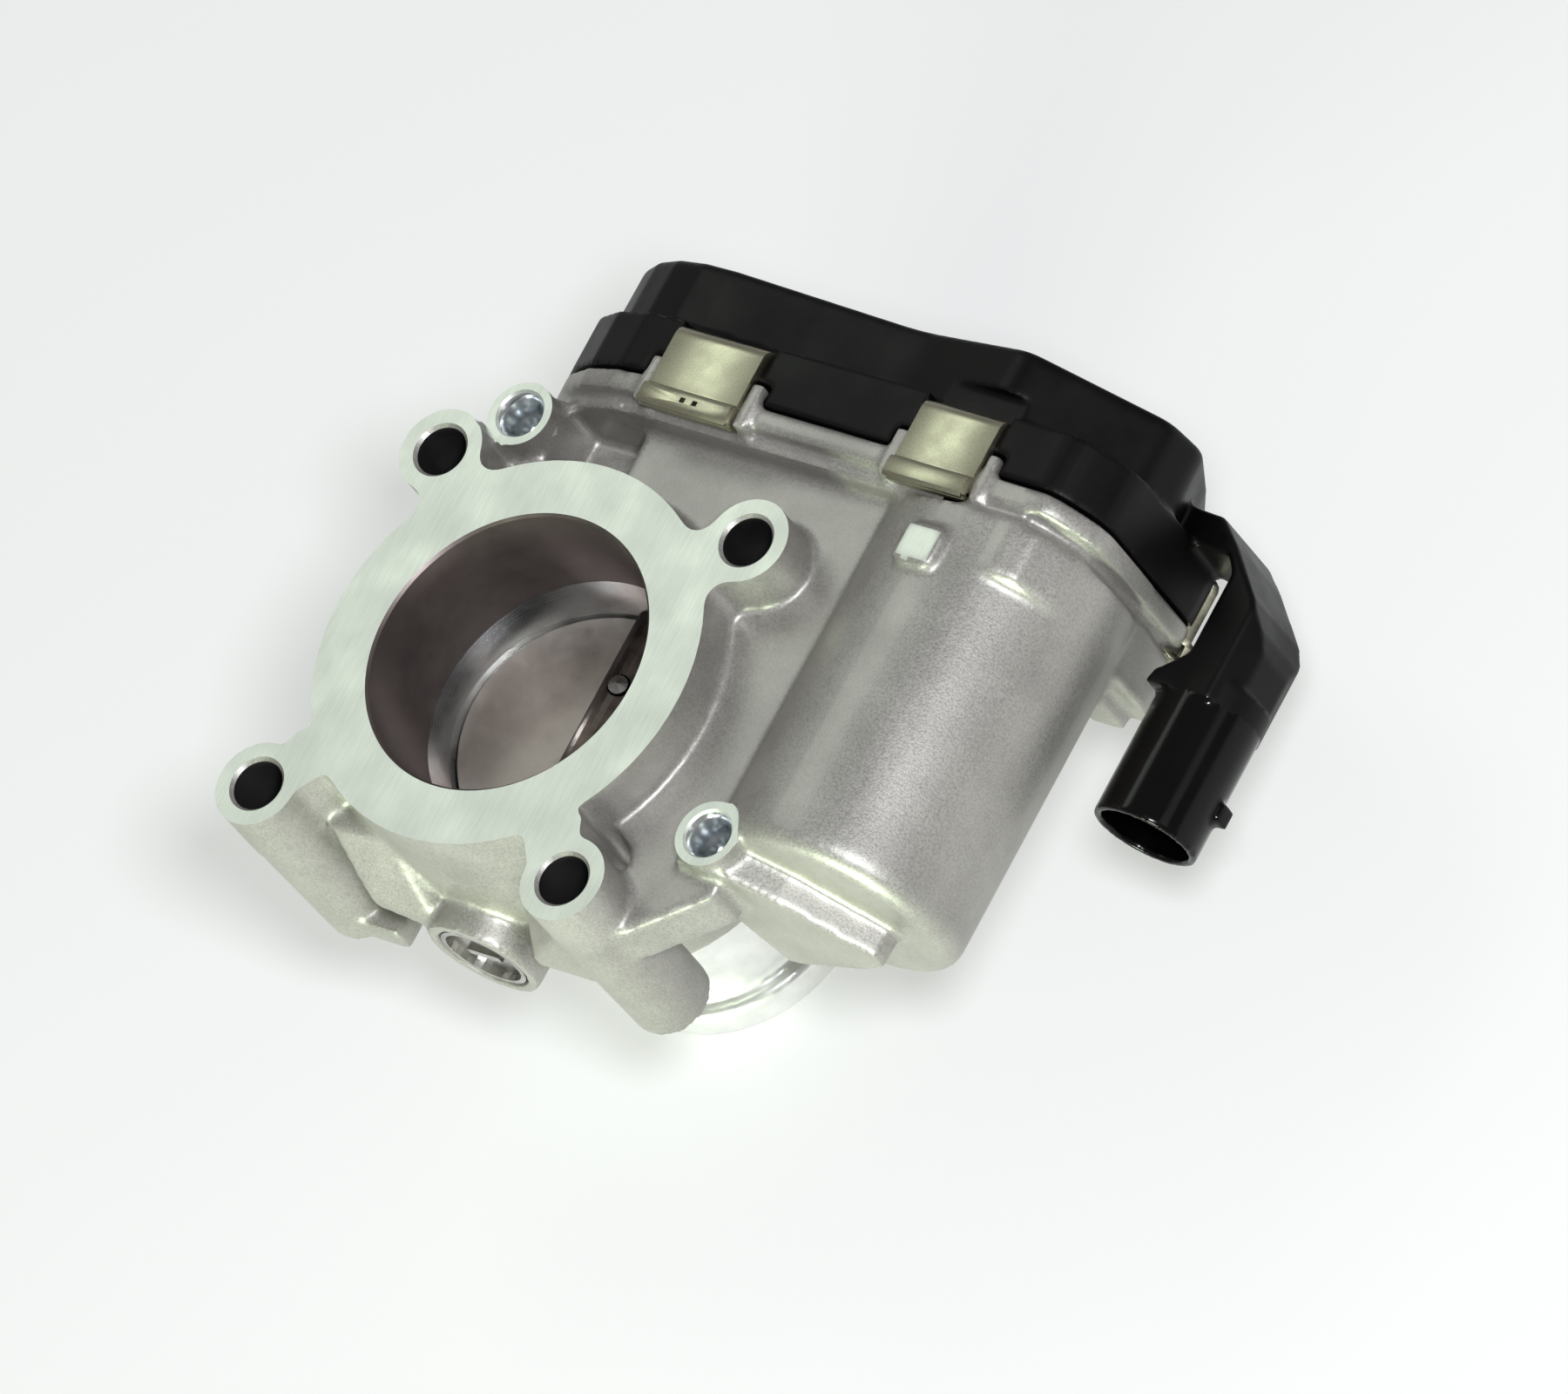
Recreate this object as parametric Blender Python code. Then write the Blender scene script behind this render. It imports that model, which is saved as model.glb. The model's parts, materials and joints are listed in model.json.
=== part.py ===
"""Electronic throttle body for a petrol engine, built as its separate pieces.

Frame: the origin is the centre of the bore in the mounting flange face. +X runs from the bore
towards the motor, +Y along the throttle shaft towards the gear cover, and +Z out of the flange.
Dimensions are in millimetres and become metres when a mesh is made.
"""

import math

import bmesh
import bpy
from mathutils import Matrix, Vector

MM = 0.001
GAP = 0.3                       # running and fitting clearance between neighbours

# Mounting flange and bore
BORE_R = 22.0
RING_R = 31.1
THROTTLE_BORE_R = 21.0
THROTTLE_BORE_TOP = -20.5
BOLT_X = 28.2
BOLT_Y_FRONT = 26.4
BOLT_Y_BACK = -30.1
BOLT_HOLE_R = 3.9
LUG_R = 6.7
LUG_END_Z = -36.0
LUG_FILLET_R = 3.0
DECK_Z = -8.2
BARREL_END_Z = -23.0

# Outlet
NECK_R = 19.0
COLLAR_R = 21.5
OUTLET_BORE_R = 16.5
NECK_TOP_Z = -56.0
COLLAR_TOP_Z = -71.0
OUTLET_END_Z = -77.0

# Shaft axes, all parallel to Y, as (x, z)
THROTTLE_AXIS = (0.0, -29.4)
MOTOR_AXIS = (57.3, -20.0)

# Gear housing and cover, by their height along Y
TRAY_BOTTOM_Y = 41.2
RIM_BOTTOM_Y = 43.6
FLOOR_Y = 44.0
RIM_TOP_Y = 47.0
COVER_RIM_Y = 56.4
COVER_TOP_Y = 67.0
COVER_CEILING_Y = 64.0
RIM_CEILING_Y = 54.6
CLIP_SEAT_Y = 54.3
RIM_WALL = 3.0
DOME_R = 27.2
DOME_WALL = 2.6
FRONT_Z = -0.9
BACK_Z = -58.8
END_X = 76.6
LEFT_X = -30.0
KNEE = (14.0, BACK_Z)
HEEL = (66.0, -52.0)
BACK_TURN = math.atan2(HEEL[1] - KNEE[1], HEEL[0] - KNEE[0])

# Gear train: teeth and modules
SECTOR_TEETH = 49
SMALL_PINION_TEETH = 12
SHAFT_STAGE_MODULE = 1.0
LARGE_GEAR_TEETH = 52
MOTOR_PINION_TEETH = 17
MOTOR_STAGE_MODULE = 0.8
PRESSURE_ANGLE = math.radians(20.0)
BACKLASH = 0.16
SECTOR_LAYER = (44.9, 49.2)
LARGE_LAYER = (49.8, 53.8)

# Shaft, plate and their bearings
SHAFT_R = 4.0
PLATE_R = 20.6
PLATE_THICK = 1.8
REST_TILT = math.radians(12.0)
BEARING_R = 6.0
PLUG_BOSS_R = 9.0
PLUG_BOSS_END_Y = -35.4
PLUG_SEAT_R = 7.2

# Motor
MOTOR_HOUSING_R = 19.5
MOTOR_CAVITY_R = 16.4
MOTOR_CAN_R = 16.0
MOTOR_END_Y = -15.5
MOTOR_SCREW_RADIUS = 17.95
MOTOR_SCREW_ANGLES = (math.radians(150.0), math.radians(300.0))

# Connector
PLUG_AXIS = (87.3, -37.0)
SHROUD_R = 8.1
SHROUD_BORE_R = 6.9
SHROUD_MOUTH_Y = 14.0
SHROUD_FLOOR_Y = 31.0

# Clips: point on the rim (x, z), outward direction in degrees from +X to +Z, width
CLIP_THICK = 0.7
CLIP_PLACES = (
    (7.2, FRONT_Z, 90.0, 15.5),
    (50.7, FRONT_Z - 0.8, 90.0, 13.5),
    (72.3, -43.7, -37.25, 9.0),
    (6.0, BACK_Z, -90.0, 15.5),
    (KNEE[0] * 0.5 + HEEL[0] * 0.5, KNEE[1] * 0.5 + HEEL[1] * 0.5, math.degrees(BACK_TURN) - 90.0, 13.5),
)


def clear_scene():
    """Remove what the scene holds before the part is made."""
    for item in list(bpy.data.objects):
        bpy.data.objects.remove(item, do_unlink=True)


def finish(name, colour, metallic, roughness):
    """Return a Principled material with one colour."""
    material = bpy.data.materials.new(name)
    material.use_nodes = True
    shader = material.node_tree.nodes["Principled BSDF"]
    shader.inputs["Base Color"].default_value = (*colour, 1.0)
    shader.inputs["Metallic"].default_value = metallic
    shader.inputs["Roughness"].default_value = roughness
    return material


FINISHES = {
    "aluminium": ((0.52, 0.51, 0.49), 1.0, 0.45),
    "plastic": ((0.012, 0.011, 0.011), 0.0, 0.35),
    "steel": ((0.55, 0.54, 0.52), 1.0, 0.3),
    "nickel": ((0.60, 0.58, 0.48), 1.0, 0.32),
    "brass": ((0.55, 0.42, 0.20), 1.0, 0.35),
    "copper": ((0.60, 0.30, 0.18), 1.0, 0.4),
    "rubber": ((0.02, 0.02, 0.022), 0.0, 0.75),
    "nylon": ((0.55, 0.53, 0.47), 0.0, 0.5),
    "board": ((0.03, 0.14, 0.06), 0.0, 0.5),
    "ferrite": ((0.06, 0.06, 0.065), 0.0, 0.6),
}


def node(name, bm, surface, parent=None):
    """Turn a bmesh in millimetres into a named object with its own material."""
    bmesh.ops.recalc_face_normals(bm, faces=bm.faces)
    bmesh.ops.scale(bm, vec=(MM, MM, MM), verts=bm.verts)
    mesh = bpy.data.meshes.new(name)
    bm.to_mesh(mesh)
    bm.free()
    item = bpy.data.objects.new(name, mesh)
    bpy.context.collection.objects.link(item)
    item.parent = parent
    item.data.materials.append(finish(name + "_finish", *FINISHES[surface]))
    smooth(item)
    return item


def smooth(item):
    """Shade a piece smooth across its shallow edges."""
    item.data.shade_smooth()
    item.data.set_sharp_from_angle(angle=math.radians(32.0))


def axis_point(across, up, along, axis):
    """Place a point given across, up and along an extrusion axis."""
    if axis == "Y":
        return Vector((across, along, up))
    if axis == "X":
        return Vector((along, across, up))
    return Vector((across, up, along))


def prism(outline, axis, low, high):
    """Closed prism of a 2D outline between two heights on an axis."""
    bm = bmesh.new()
    base = [bm.verts.new(axis_point(a, b, low, axis)) for a, b in outline]
    top = [bm.verts.new(axis_point(a, b, high, axis)) for a, b in outline]
    bm.faces.new(base)
    bm.faces.new(list(reversed(top)))
    count = len(outline)
    for index in range(count):
        after = (index + 1) % count
        bm.faces.new((base[index], top[index], top[after], base[after]))
    return bm


def turned(profile, axis, centre, steps):
    """Closed body of revolution; profile points are (radius, height on the axis)."""
    bm = bmesh.new()
    rings = []
    for radius, height in profile:
        if radius < 1e-6:
            rings.append([bm.verts.new(axis_point(centre[0], centre[1], height, axis))])
            continue
        ring = []
        for step in range(steps):
            angle = math.tau * step / steps
            across = centre[0] + radius * math.cos(angle)
            up = centre[1] + radius * math.sin(angle)
            ring.append(bm.verts.new(axis_point(across, up, height, axis)))
        rings.append(ring)
    for index, ring in enumerate(rings):
        follow = rings[(index + 1) % len(rings)]
        if len(ring) == 1 and len(follow) == 1:
            continue
        for step in range(steps):
            after = (step + 1) % steps
            corners = [ring[step % len(ring)], follow[step % len(follow)]]
            if len(follow) > 1:
                corners.append(follow[after])
            if len(ring) > 1:
                corners.append(ring[after])
            bm.faces.new(corners)
    return bm


def loft(sections, axis):
    """Closed body through outlines of equal point count, given as (height, outline) from low to high."""
    bm = bmesh.new()
    rings = []
    for height, outline in sections:
        rings.append([bm.verts.new(axis_point(a, b, height, axis)) for a, b in outline])
    bm.faces.new(rings[0])
    bm.faces.new(list(reversed(rings[-1])))
    count = len(rings[0])
    for lower, upper in zip(rings, rings[1:]):
        for index in range(count):
            after = (index + 1) % count
            bm.faces.new((lower[index], upper[index], upper[after], lower[after]))
    return bm


def rod(axis, centre, radius, low, high, steps):
    """Plain cylinder."""
    return turned([(0.0, low), (radius, low), (radius, high), (0.0, high)], axis, centre, steps)


def tube(axis, centre, inner, outer, low, high, steps):
    """Cylinder with a through hole."""
    profile = [(inner, low), (outer, low), (outer, high), (inner, high)]
    return turned(profile, axis, centre, steps)


def block(low, high):
    """Box between two corners."""
    outline = [(low[0], low[1]), (high[0], low[1]), (high[0], high[1]), (low[0], high[1])]
    return prism(outline, "Z", low[2], high[2])


def hull(points):
    """Convex body around a few points."""
    bm = bmesh.new()
    for point in points:
        bm.verts.new(point)
    result = bmesh.ops.convex_hull(bm, input=bm.verts)
    loose = [v for v in result["geom_interior"] if isinstance(v, bmesh.types.BMVert)]
    bmesh.ops.delete(bm, geom=loose, context="VERTS")
    bmesh.ops.dissolve_limit(bm, angle_limit=0.01, verts=bm.verts, edges=bm.edges)
    return bm


def rounded(corners, steps=6, even=False):
    """Outline through corners given as (x, y, radius), each turned into an arc of steps per quarter turn.

    With even set, every corner gets the same number of steps, so that two outlines can be lofted.
    """
    outline = []
    count = len(corners)
    for index, (x, y, radius) in enumerate(corners):
        here = Vector((x, y))
        before = Vector(corners[index - 1][:2]) - here
        after = Vector(corners[(index + 1) % count][:2]) - here
        if radius <= 0.0:
            outline.append((x, y))
            continue
        half = before.angle(after) / 2.0
        reach = radius / math.tan(half)
        centre = here + (before.normalized() + after.normalized()).normalized() * (radius / math.sin(half))
        start = here + before.normalized() * reach - centre
        turn = -start.angle_signed(here + after.normalized() * reach - centre)
        pieces = steps if even else max(2, round(steps * abs(turn) / (math.pi / 2.0)))
        for piece in range(pieces + 1):
            spun = Matrix.Rotation(turn * piece / pieces, 2) @ start
            outline.append(tuple(centre + spun))
    return outline


def arc(centre, radius, start, end, steps):
    """Points on an arc, angles in radians, both ends included."""
    points = []
    for step in range(steps + 1):
        angle = start + (end - start) * step / steps
        points.append((centre[0] + radius * math.cos(angle), centre[1] + radius * math.sin(angle)))
    return points


def combine(base, tools):
    """Apply (operation, tool bmesh) pairs to a piece with exact Booleans."""
    helpers = []
    for number, (operation, tool) in enumerate(tools):
        helper = node(f"{base.name}_tool_{number}", tool, "steel")
        helper.hide_render = True
        helper.display_type = "WIRE"
        modifier = base.modifiers.new(f"step_{number}", "BOOLEAN")
        modifier.operation = operation
        modifier.solver = "EXACT"
        modifier.object = helper
        helpers.append(helper)
    bpy.context.view_layer.update()
    graph = bpy.context.evaluated_depsgraph_get()
    mesh = bpy.data.meshes.new_from_object(base.evaluated_get(graph))
    base.modifiers.clear()
    surface = base.data.materials[0]
    base.data = mesh
    mesh.materials.clear()
    mesh.materials.append(surface)
    for polygon in mesh.polygons:
        polygon.material_index = 0
    for helper in helpers:
        bpy.data.objects.remove(helper, do_unlink=True)
    weld(mesh)
    smooth(base)
    return base


def weld(mesh):
    """Merge the doubled points that a Boolean can leave."""
    bm = bmesh.new()
    bm.from_mesh(mesh)
    bmesh.ops.remove_doubles(bm, verts=bm.verts, dist=2e-6)
    bmesh.ops.dissolve_degenerate(bm, edges=bm.edges, dist=2e-6)
    bm.to_mesh(mesh)
    bm.free()


def joint_empty(name, axis_place):
    """Empty on a joint's axis, the parent of the pieces that turn with it."""
    empty = bpy.data.objects.new(name, None)
    empty.location = (axis_place[0] * MM, 0.0, axis_place[1] * MM)
    bpy.context.collection.objects.link(empty)
    return empty


# ---------------------------------------------------------------- outlines

def flange_outline():
    """Ring with four bolt lugs, joined by concave fillets; the back lugs have straight webs."""
    outline = []
    centres = ((BOLT_X, BOLT_Y_FRONT), (-BOLT_X, BOLT_Y_FRONT), (-BOLT_X, BOLT_Y_BACK), (BOLT_X, BOLT_Y_BACK))
    for x, y in centres:
        away = Vector((x, y))
        distance = away.length
        ring_reach = RING_R + LUG_FILLET_R
        lug_reach = LUG_R + LUG_FILLET_R
        along = (ring_reach ** 2 - lug_reach ** 2 + distance ** 2) / (2.0 * distance)
        side = math.sqrt(ring_reach ** 2 - along ** 2)
        unit = away / distance
        across = Vector((-unit.y, unit.x))
        heading = math.atan2(y, x)
        ring_turn = math.atan2(side, along)
        lug_turn = math.atan2(side, distance - along)
        entry = unit * along - across * side
        leave = unit * along + across * side
        ring_dir = heading - ring_turn
        outline += arc(entry, LUG_FILLET_R, ring_dir + math.pi, heading + lug_turn, 4)
        outline += arc((x, y), LUG_R, heading - math.pi + lug_turn, heading + math.pi - lug_turn, 22)[1:-1]
        outline += arc(leave, LUG_FILLET_R, heading - lug_turn, heading + ring_turn - math.pi, 4)
        nxt = centres[(centres.index((x, y)) + 1) % 4]
        start = heading + ring_turn
        end = math.atan2(nxt[1], nxt[0]) - turn_to(nxt, ring_reach, lug_reach)
        while end < start:
            end += math.tau
        outline += arc((0.0, 0.0), RING_R, start, end, 12)[1:-1]
    return outline


def turn_to(centre, ring_reach, lug_reach):
    """Angle between a lug's direction and where its fillet leaves the ring."""
    distance = math.hypot(*centre)
    along = (ring_reach ** 2 - lug_reach ** 2 + distance ** 2) / (2.0 * distance)
    return math.atan2(math.sqrt(ring_reach ** 2 - along ** 2), along)


def moved_in(corners, distance):
    """Corners of a counter-clockwise outline with every side moved inwards by distance."""
    moved = []
    count = len(corners)
    for index, (x, y, radius) in enumerate(corners):
        here = Vector((x, y))
        first = (here - Vector(corners[index - 1][:2])).normalized()
        second = (Vector(corners[(index + 1) % count][:2]) - here).normalized()
        inward = Vector((-first.y - second.y, first.x + second.x)) / (1.0 + first.dot(second))
        place = here + inward * distance
        bends_out = first.x * second.y - first.y * second.x > 0.0
        reach = max(radius - distance, 0.8) if bends_out else radius + distance
        moved.append((place.x, place.y, reach))
    return moved


def rim_outline(inset):
    """Outline of the gear housing rim in X and Z, moved inwards by inset."""
    corners = [(LEFT_X, FRONT_Z, 28.5), (LEFT_X, BACK_Z, 28.5), (*KNEE, 10.0), (*HEEL, 4.0),
               (END_X - 0.6, -38.8, 6.0), (END_X, -9.5, 8.0), (70.5, FRONT_Z - 1.0, 6.0)]
    return rounded(moved_in(corners, inset), 6)


def dome_outline(inset):
    """Outline of the raised part of the cover, moved inwards by inset."""
    corners = [(-DOME_R, -1.6, 25.6), (-DOME_R, -55.7, 25.4), (14.0, -55.7, 8.0), (61.5, -50.0, 6.0),
               (69.5, -35.5, 9.0), (75.9, -22.0, 6.0), (74.3, -14.0, 5.0), (54.6, -2.0, 6.0), (32.8, -6.3, 30.0)]
    return rounded(moved_in(corners, inset), 7, even=True)


# ---------------------------------------------------------------- gears

def gear_outline(centre, teeth, module, phase, first=0, last=None, hub=None):
    """Involute gear outline with a tooth centred on phase, or a sector from first to last tooth."""
    pitch = module * teeth / 2.0
    tip = pitch + 0.8 * module
    root = pitch - 1.1 * module
    base = pitch * math.cos(PRESSURE_ANGLE)
    half_pitch = math.pi / (2.0 * teeth) - BACKLASH / (2.0 * pitch)
    inv = math.tan(PRESSURE_ANGLE) - PRESSURE_ANGLE

    def half_angle(radius):
        if radius <= base:
            return half_pitch + inv
        turn = math.acos(base / radius)
        return half_pitch + inv - (math.tan(turn) - turn)

    start = max(base, root)
    flank = [root, start + (tip - start) * 0.15, start + (tip - start) * 0.6, tip]
    outline = []
    stop = teeth if last is None else last + 1
    for tooth in range(first, stop):
        middle = phase + math.tau * tooth / teeth
        for radius in flank:
            angle = middle - half_angle(radius)
            outline.append((centre[0] + radius * math.cos(angle), centre[1] + radius * math.sin(angle)))
        for radius in reversed(flank):
            angle = middle + half_angle(radius)
            outline.append((centre[0] + radius * math.cos(angle), centre[1] + radius * math.sin(angle)))
    if hub is not None:
        low = phase + math.tau * (first - 0.6) / teeth
        high = phase + math.tau * (last + 0.6) / teeth
        rim = [(centre[0] + root * math.cos(low), centre[1] + root * math.sin(low))]
        outline = rim + outline
        outline.append((centre[0] + root * math.cos(high), centre[1] + root * math.sin(high)))
        outline += arc(centre, hub, high + 0.5, low - 0.5 + math.tau, 14)
    return outline


def gear_centre():
    """Axis of the intermediate gear, on the lower side of the line from throttle to motor."""
    start = Vector(THROTTLE_AXIS)
    line = Vector(MOTOR_AXIS) - start
    reach = SHAFT_STAGE_MODULE * (SECTOR_TEETH + SMALL_PINION_TEETH) / 2.0
    rest = MOTOR_STAGE_MODULE * (LARGE_GEAR_TEETH + MOTOR_PINION_TEETH) / 2.0
    along = (reach ** 2 - rest ** 2 + line.length_squared) / (2.0 * line.length)
    aside = math.sqrt(reach ** 2 - along ** 2)
    unit = line.normalized()
    place = start + unit * along + Vector((unit.y, -unit.x)) * aside
    return (place.x, place.y)


GEAR_AXIS = gear_centre()


def heading(start, end):
    """Direction angle from one axis to another."""
    return math.atan2(end[1] - start[1], end[0] - start[0])


# ---------------------------------------------------------------- housing

def housing():
    """Cast body: flange, lugs, barrel, outlet, deck, motor housing and gear tray."""
    body = node("throttle_housing", prism(flange_outline(), "Z", -11.0, 0.0), "aluminium")
    lugs = []
    for x in (-BOLT_X, BOLT_X):
        for y in (BOLT_Y_FRONT, BOLT_Y_BACK):
            lugs.append(("UNION", turned([(0.0, LUG_END_Z), (LUG_R - 0.5, LUG_END_Z), (LUG_R - 0.05, -0.8),
                                          (0.0, -0.8)], "Z", (x, y), 28)))
    webs = []
    for side in (-1.0, 1.0):
        web = [(side * 18.3, -25.4), (side * 22.6, -31.0), (side * 25.6, -35.4), (side * 30.0, -30.0),
               (side * 26.0, -20.5), (side * 20.0, -18.0)]
        webs.append(("UNION", prism(web, "Z", -22.4, -0.004)))
    barrel = [(0.0, -52.0), (25.0, -50.0), (27.5, -42.0), (27.5, -30.0), (RING_R - 0.06, BARREL_END_Z),
              (RING_R - 0.06, -7.0), (0.0, -7.0)]
    outlet = [(0.0, OUTLET_END_Z), (COLLAR_R - 0.6, OUTLET_END_Z), (COLLAR_R, OUTLET_END_Z + 0.8),
              (COLLAR_R, COLLAR_TOP_Z - 1.0), (COLLAR_R - 0.8, COLLAR_TOP_Z), (NECK_R, COLLAR_TOP_Z),
              (NECK_R, NECK_TOP_Z), (25.0, -49.0), (0.0, -49.0)]
    gussets = []
    gussets.append(("UNION", hull([(-9.5, -29.4, -8.5), (-5.9, -30.3, -23.0), (-6.5, -34.3, -25.0),
                                   (-17.0, -34.3, -21.4), (-20.0, -30.0, -9.0), (-17.0, -34.3, -24.0),
                                   (-6.5, -34.3, -27.0), (-20.0, -24.0, -9.0), (-5.0, -24.0, -9.0),
                                   (-5.0, -24.0, -27.0), (-20.0, -24.0, -24.0)])))
    gussets.append(("UNION", hull([(13.0, -29.0, -16.0), (11.0, -34.3, -25.5), (22.5, -34.3, -24.5),
                                   (22.0, -33.0, -13.5), (22.5, -34.3, -27.5), (11.0, -34.3, -27.5),
                                   (22.0, -24.0, -13.0), (8.0, -24.0, -14.0), (8.0, -24.0, -27.5),
                                   (22.0, -24.0, -27.5)])))
    foot = ("UNION", block((-27.5, -35.2, -35.8), (-17.0, -28.0, -31.0)))
    deck = [(-21.0, 10.0), (30.0, -20.0), (33.0, -30.5), (34.6, -32.9), (36.2, -32.0), (47.0, -23.0),
            (47.0, 42.0), (-21.0, 42.0)]
    corner = [(-21.0, 18.0), (-1.0, 18.0), (-1.0, 42.0), (-21.0, 42.0)]
    solids = [
        ("UNION", turned(barrel, "Z", (0.0, 0.0), 56)),
        ("UNION", turned(outlet, "Z", (0.0, 0.0), 48)),
        *lugs,
        *webs,
        *gussets,
        foot,
        ("UNION", rod("Y", THROTTLE_AXIS, PLUG_BOSS_R, PLUG_BOSS_END_Y, -18.0, 32)),
        ("UNION", prism(deck, "Z", -16.4, DECK_Z)),
        ("UNION", prism(corner, "Z", -40.0, -16.0)),
        ("UNION", motor_shell()),
        ("UNION", prism(rim_outline(2.2), "Y", TRAY_BOTTOM_Y, RIM_TOP_Y - 0.1)),
        ("UNION", prism(rim_outline(0.0), "Y", RIM_BOTTOM_Y, RIM_TOP_Y)),
        ("UNION", rod("Y", THROTTLE_AXIS, 14.5, 18.0, TRAY_BOTTOM_Y + 1.0, 32)),
        ("UNION", rod("Y", GEAR_AXIS, 5.6, 34.0, TRAY_BOTTOM_Y + 1.0, 20)),
        ("UNION", rod("Z", (-21.8, 36.6), 5.2, -28.0, -4.0, 24)),
        ("UNION", rod("Z", (-20.6, 28.6), 4.0, -28.0, -9.0, 20)),
        ("UNION", rod("Z", (44.0, -15.9), 5.2, -19.0, -4.0, 24)),
        ("UNION", prism(heel_plate(), "Y", -20.6, -13.5)),
        ("UNION", prism(rounded([(52.2, 29.7, 1.6), (59.4, 29.7, 1.6), (59.4, 36.5, 1.6), (52.2, 36.5, 1.6)], 2),
                        "Z", -3.4, 0.9)),
        ("UNION", prism([(61.0, -1.9), (67.0, -1.9), (70.6, -3.4), (74.6, -9.4), (75.3, -14.5), (61.0, -14.5)],
                        "Y", 33.0, 41.4)),
        ("UNION", block((60.0, 33.2, -40.0), (74.9, 41.7, -14.0))),
        ("UNION", block((65.0, 30.6, -43.0), (71.2, 34.0, -33.0))),
        ("UNION", block((68.0, 33.4, -45.0), (74.2, 37.6, -33.0))),
        *clip_posts(),
    ]
    combine(body, solids)
    combine(body, housing_cuts())
    return body


def motor_shell():
    """Outside of the motor housing, with its rounded closed end."""
    profile = [(0.0, MOTOR_END_Y), (MOTOR_HOUSING_R - 3.0, MOTOR_END_Y)]
    for step in range(1, 5):
        angle = math.radians(90.0 * step / 4)
        profile.append((MOTOR_HOUSING_R - 3.0 + 3.0 * math.sin(angle), MOTOR_END_Y + 3.0 - 3.0 * math.cos(angle)))
    profile += [(MOTOR_HOUSING_R, TRAY_BOTTOM_Y + 0.12), (0.0, TRAY_BOTTOM_Y + 0.12)]
    return turned(profile, "Y", MOTOR_AXIS, 56)


def heel_plate():
    """Tab under the motor's closed end, in X and Z."""
    return [(39.2, -6.0), (47.5, -6.0), (55.8, -10.4), (68.2, -20.9), (68.0, -23.5), (63.0, -27.1),
            (47.0, -33.4), (45.2, -33.4), (41.0, -19.8)]


def clip_posts():
    """Cast posts on both sides of the two front clips."""
    posts = []
    for x, z, angle, width in CLIP_PLACES[:2]:
        for side in (-1.0, 1.0):
            inner = x + side * (width / 2.0 + 0.5)
            outer = inner + side * 2.0
            posts.append(("UNION", block((min(inner, outer), RIM_BOTTOM_Y - 1.2, z - 1.6),
                                         (max(inner, outer), 50.0, z + 0.5))))
    return posts


def housing_cuts():
    """Machined bore, holes, pockets and cavities of the housing."""
    bore = [(0.0, 2.0), (BORE_R + 0.2, 2.0), (BORE_R, 0.0), (THROTTLE_BORE_R + 0.35, THROTTLE_BORE_TOP + 1.0),
            (THROTTLE_BORE_R, THROTTLE_BORE_TOP), (THROTTLE_BORE_R, -38.5), (19.0, -46.0),
            (OUTLET_BORE_R, -54.0), (OUTLET_BORE_R, OUTLET_END_Z - 2.0), (0.0, OUTLET_END_Z - 2.0)]
    cuts = [("DIFFERENCE", turned(bore, "Z", (0.0, 0.0), 56))]
    for x in (-BOLT_X, BOLT_X):
        for y in (BOLT_Y_FRONT, BOLT_Y_BACK):
            cuts.append(("DIFFERENCE", rod("Z", (x, y), BOLT_HOLE_R, LUG_END_Z - 3.0, 3.0, 24)))
    for x, y in ((-21.8, 36.6), (44.0, -15.9)):
        cone = [(0.0, -13.0), (2.6, -11.0), (3.0, 0.0), (0.0, 0.0)]
        cuts.append(("DIFFERENCE", turned(cone, "Z", (x, y), 20)))
    rear = [(0.0, -38.0), (PLUG_SEAT_R, -38.0), (PLUG_SEAT_R, -32.0), (BEARING_R + GAP, -32.0),
            (BEARING_R + GAP, -23.6), (SHAFT_R + GAP, -23.6), (SHAFT_R + GAP, -15.0), (0.0, -15.0)]
    front = [(0.0, 15.0), (SHAFT_R + GAP, 15.0), (SHAFT_R + GAP, 29.6), (BEARING_R + GAP, 29.6),
             (BEARING_R + GAP, 60.0), (0.0, 60.0)]
    cuts.append(("DIFFERENCE", turned(rear, "Y", THROTTLE_AXIS, 28)))
    cuts.append(("DIFFERENCE", turned(front, "Y", THROTTLE_AXIS, 28)))
    cuts.append(("DIFFERENCE", prism(rim_outline(RIM_WALL), "Y", FLOOR_Y, 60.0)))
    cuts.append(("DIFFERENCE", rod("Y", THROTTLE_AXIS, 25.9, FLOOR_Y + 0.3, 60.0, 48)))
    cuts.append(("DIFFERENCE", tube("Y", THROTTLE_AXIS, 7.8, 12.1, 33.7, 46.0, 30)))
    cuts.append(("DIFFERENCE", rod("Y", MOTOR_AXIS, MOTOR_CAVITY_R, -12.2, 58.0, 48)))
    cuts.append(("DIFFERENCE", rod("Y", GEAR_AXIS, 2.5 + GAP, 36.5, 52.0, 16)))
    for angle in MOTOR_SCREW_ANGLES:
        place = (MOTOR_AXIS[0] + MOTOR_SCREW_RADIUS * math.cos(angle),
                 MOTOR_AXIS[1] + MOTOR_SCREW_RADIUS * math.sin(angle))
        cuts.append(("DIFFERENCE", rod("Y", place, 1.3, 34.0, 50.0, 12)))
    return cuts


# ---------------------------------------------------------------- throttle group

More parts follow.
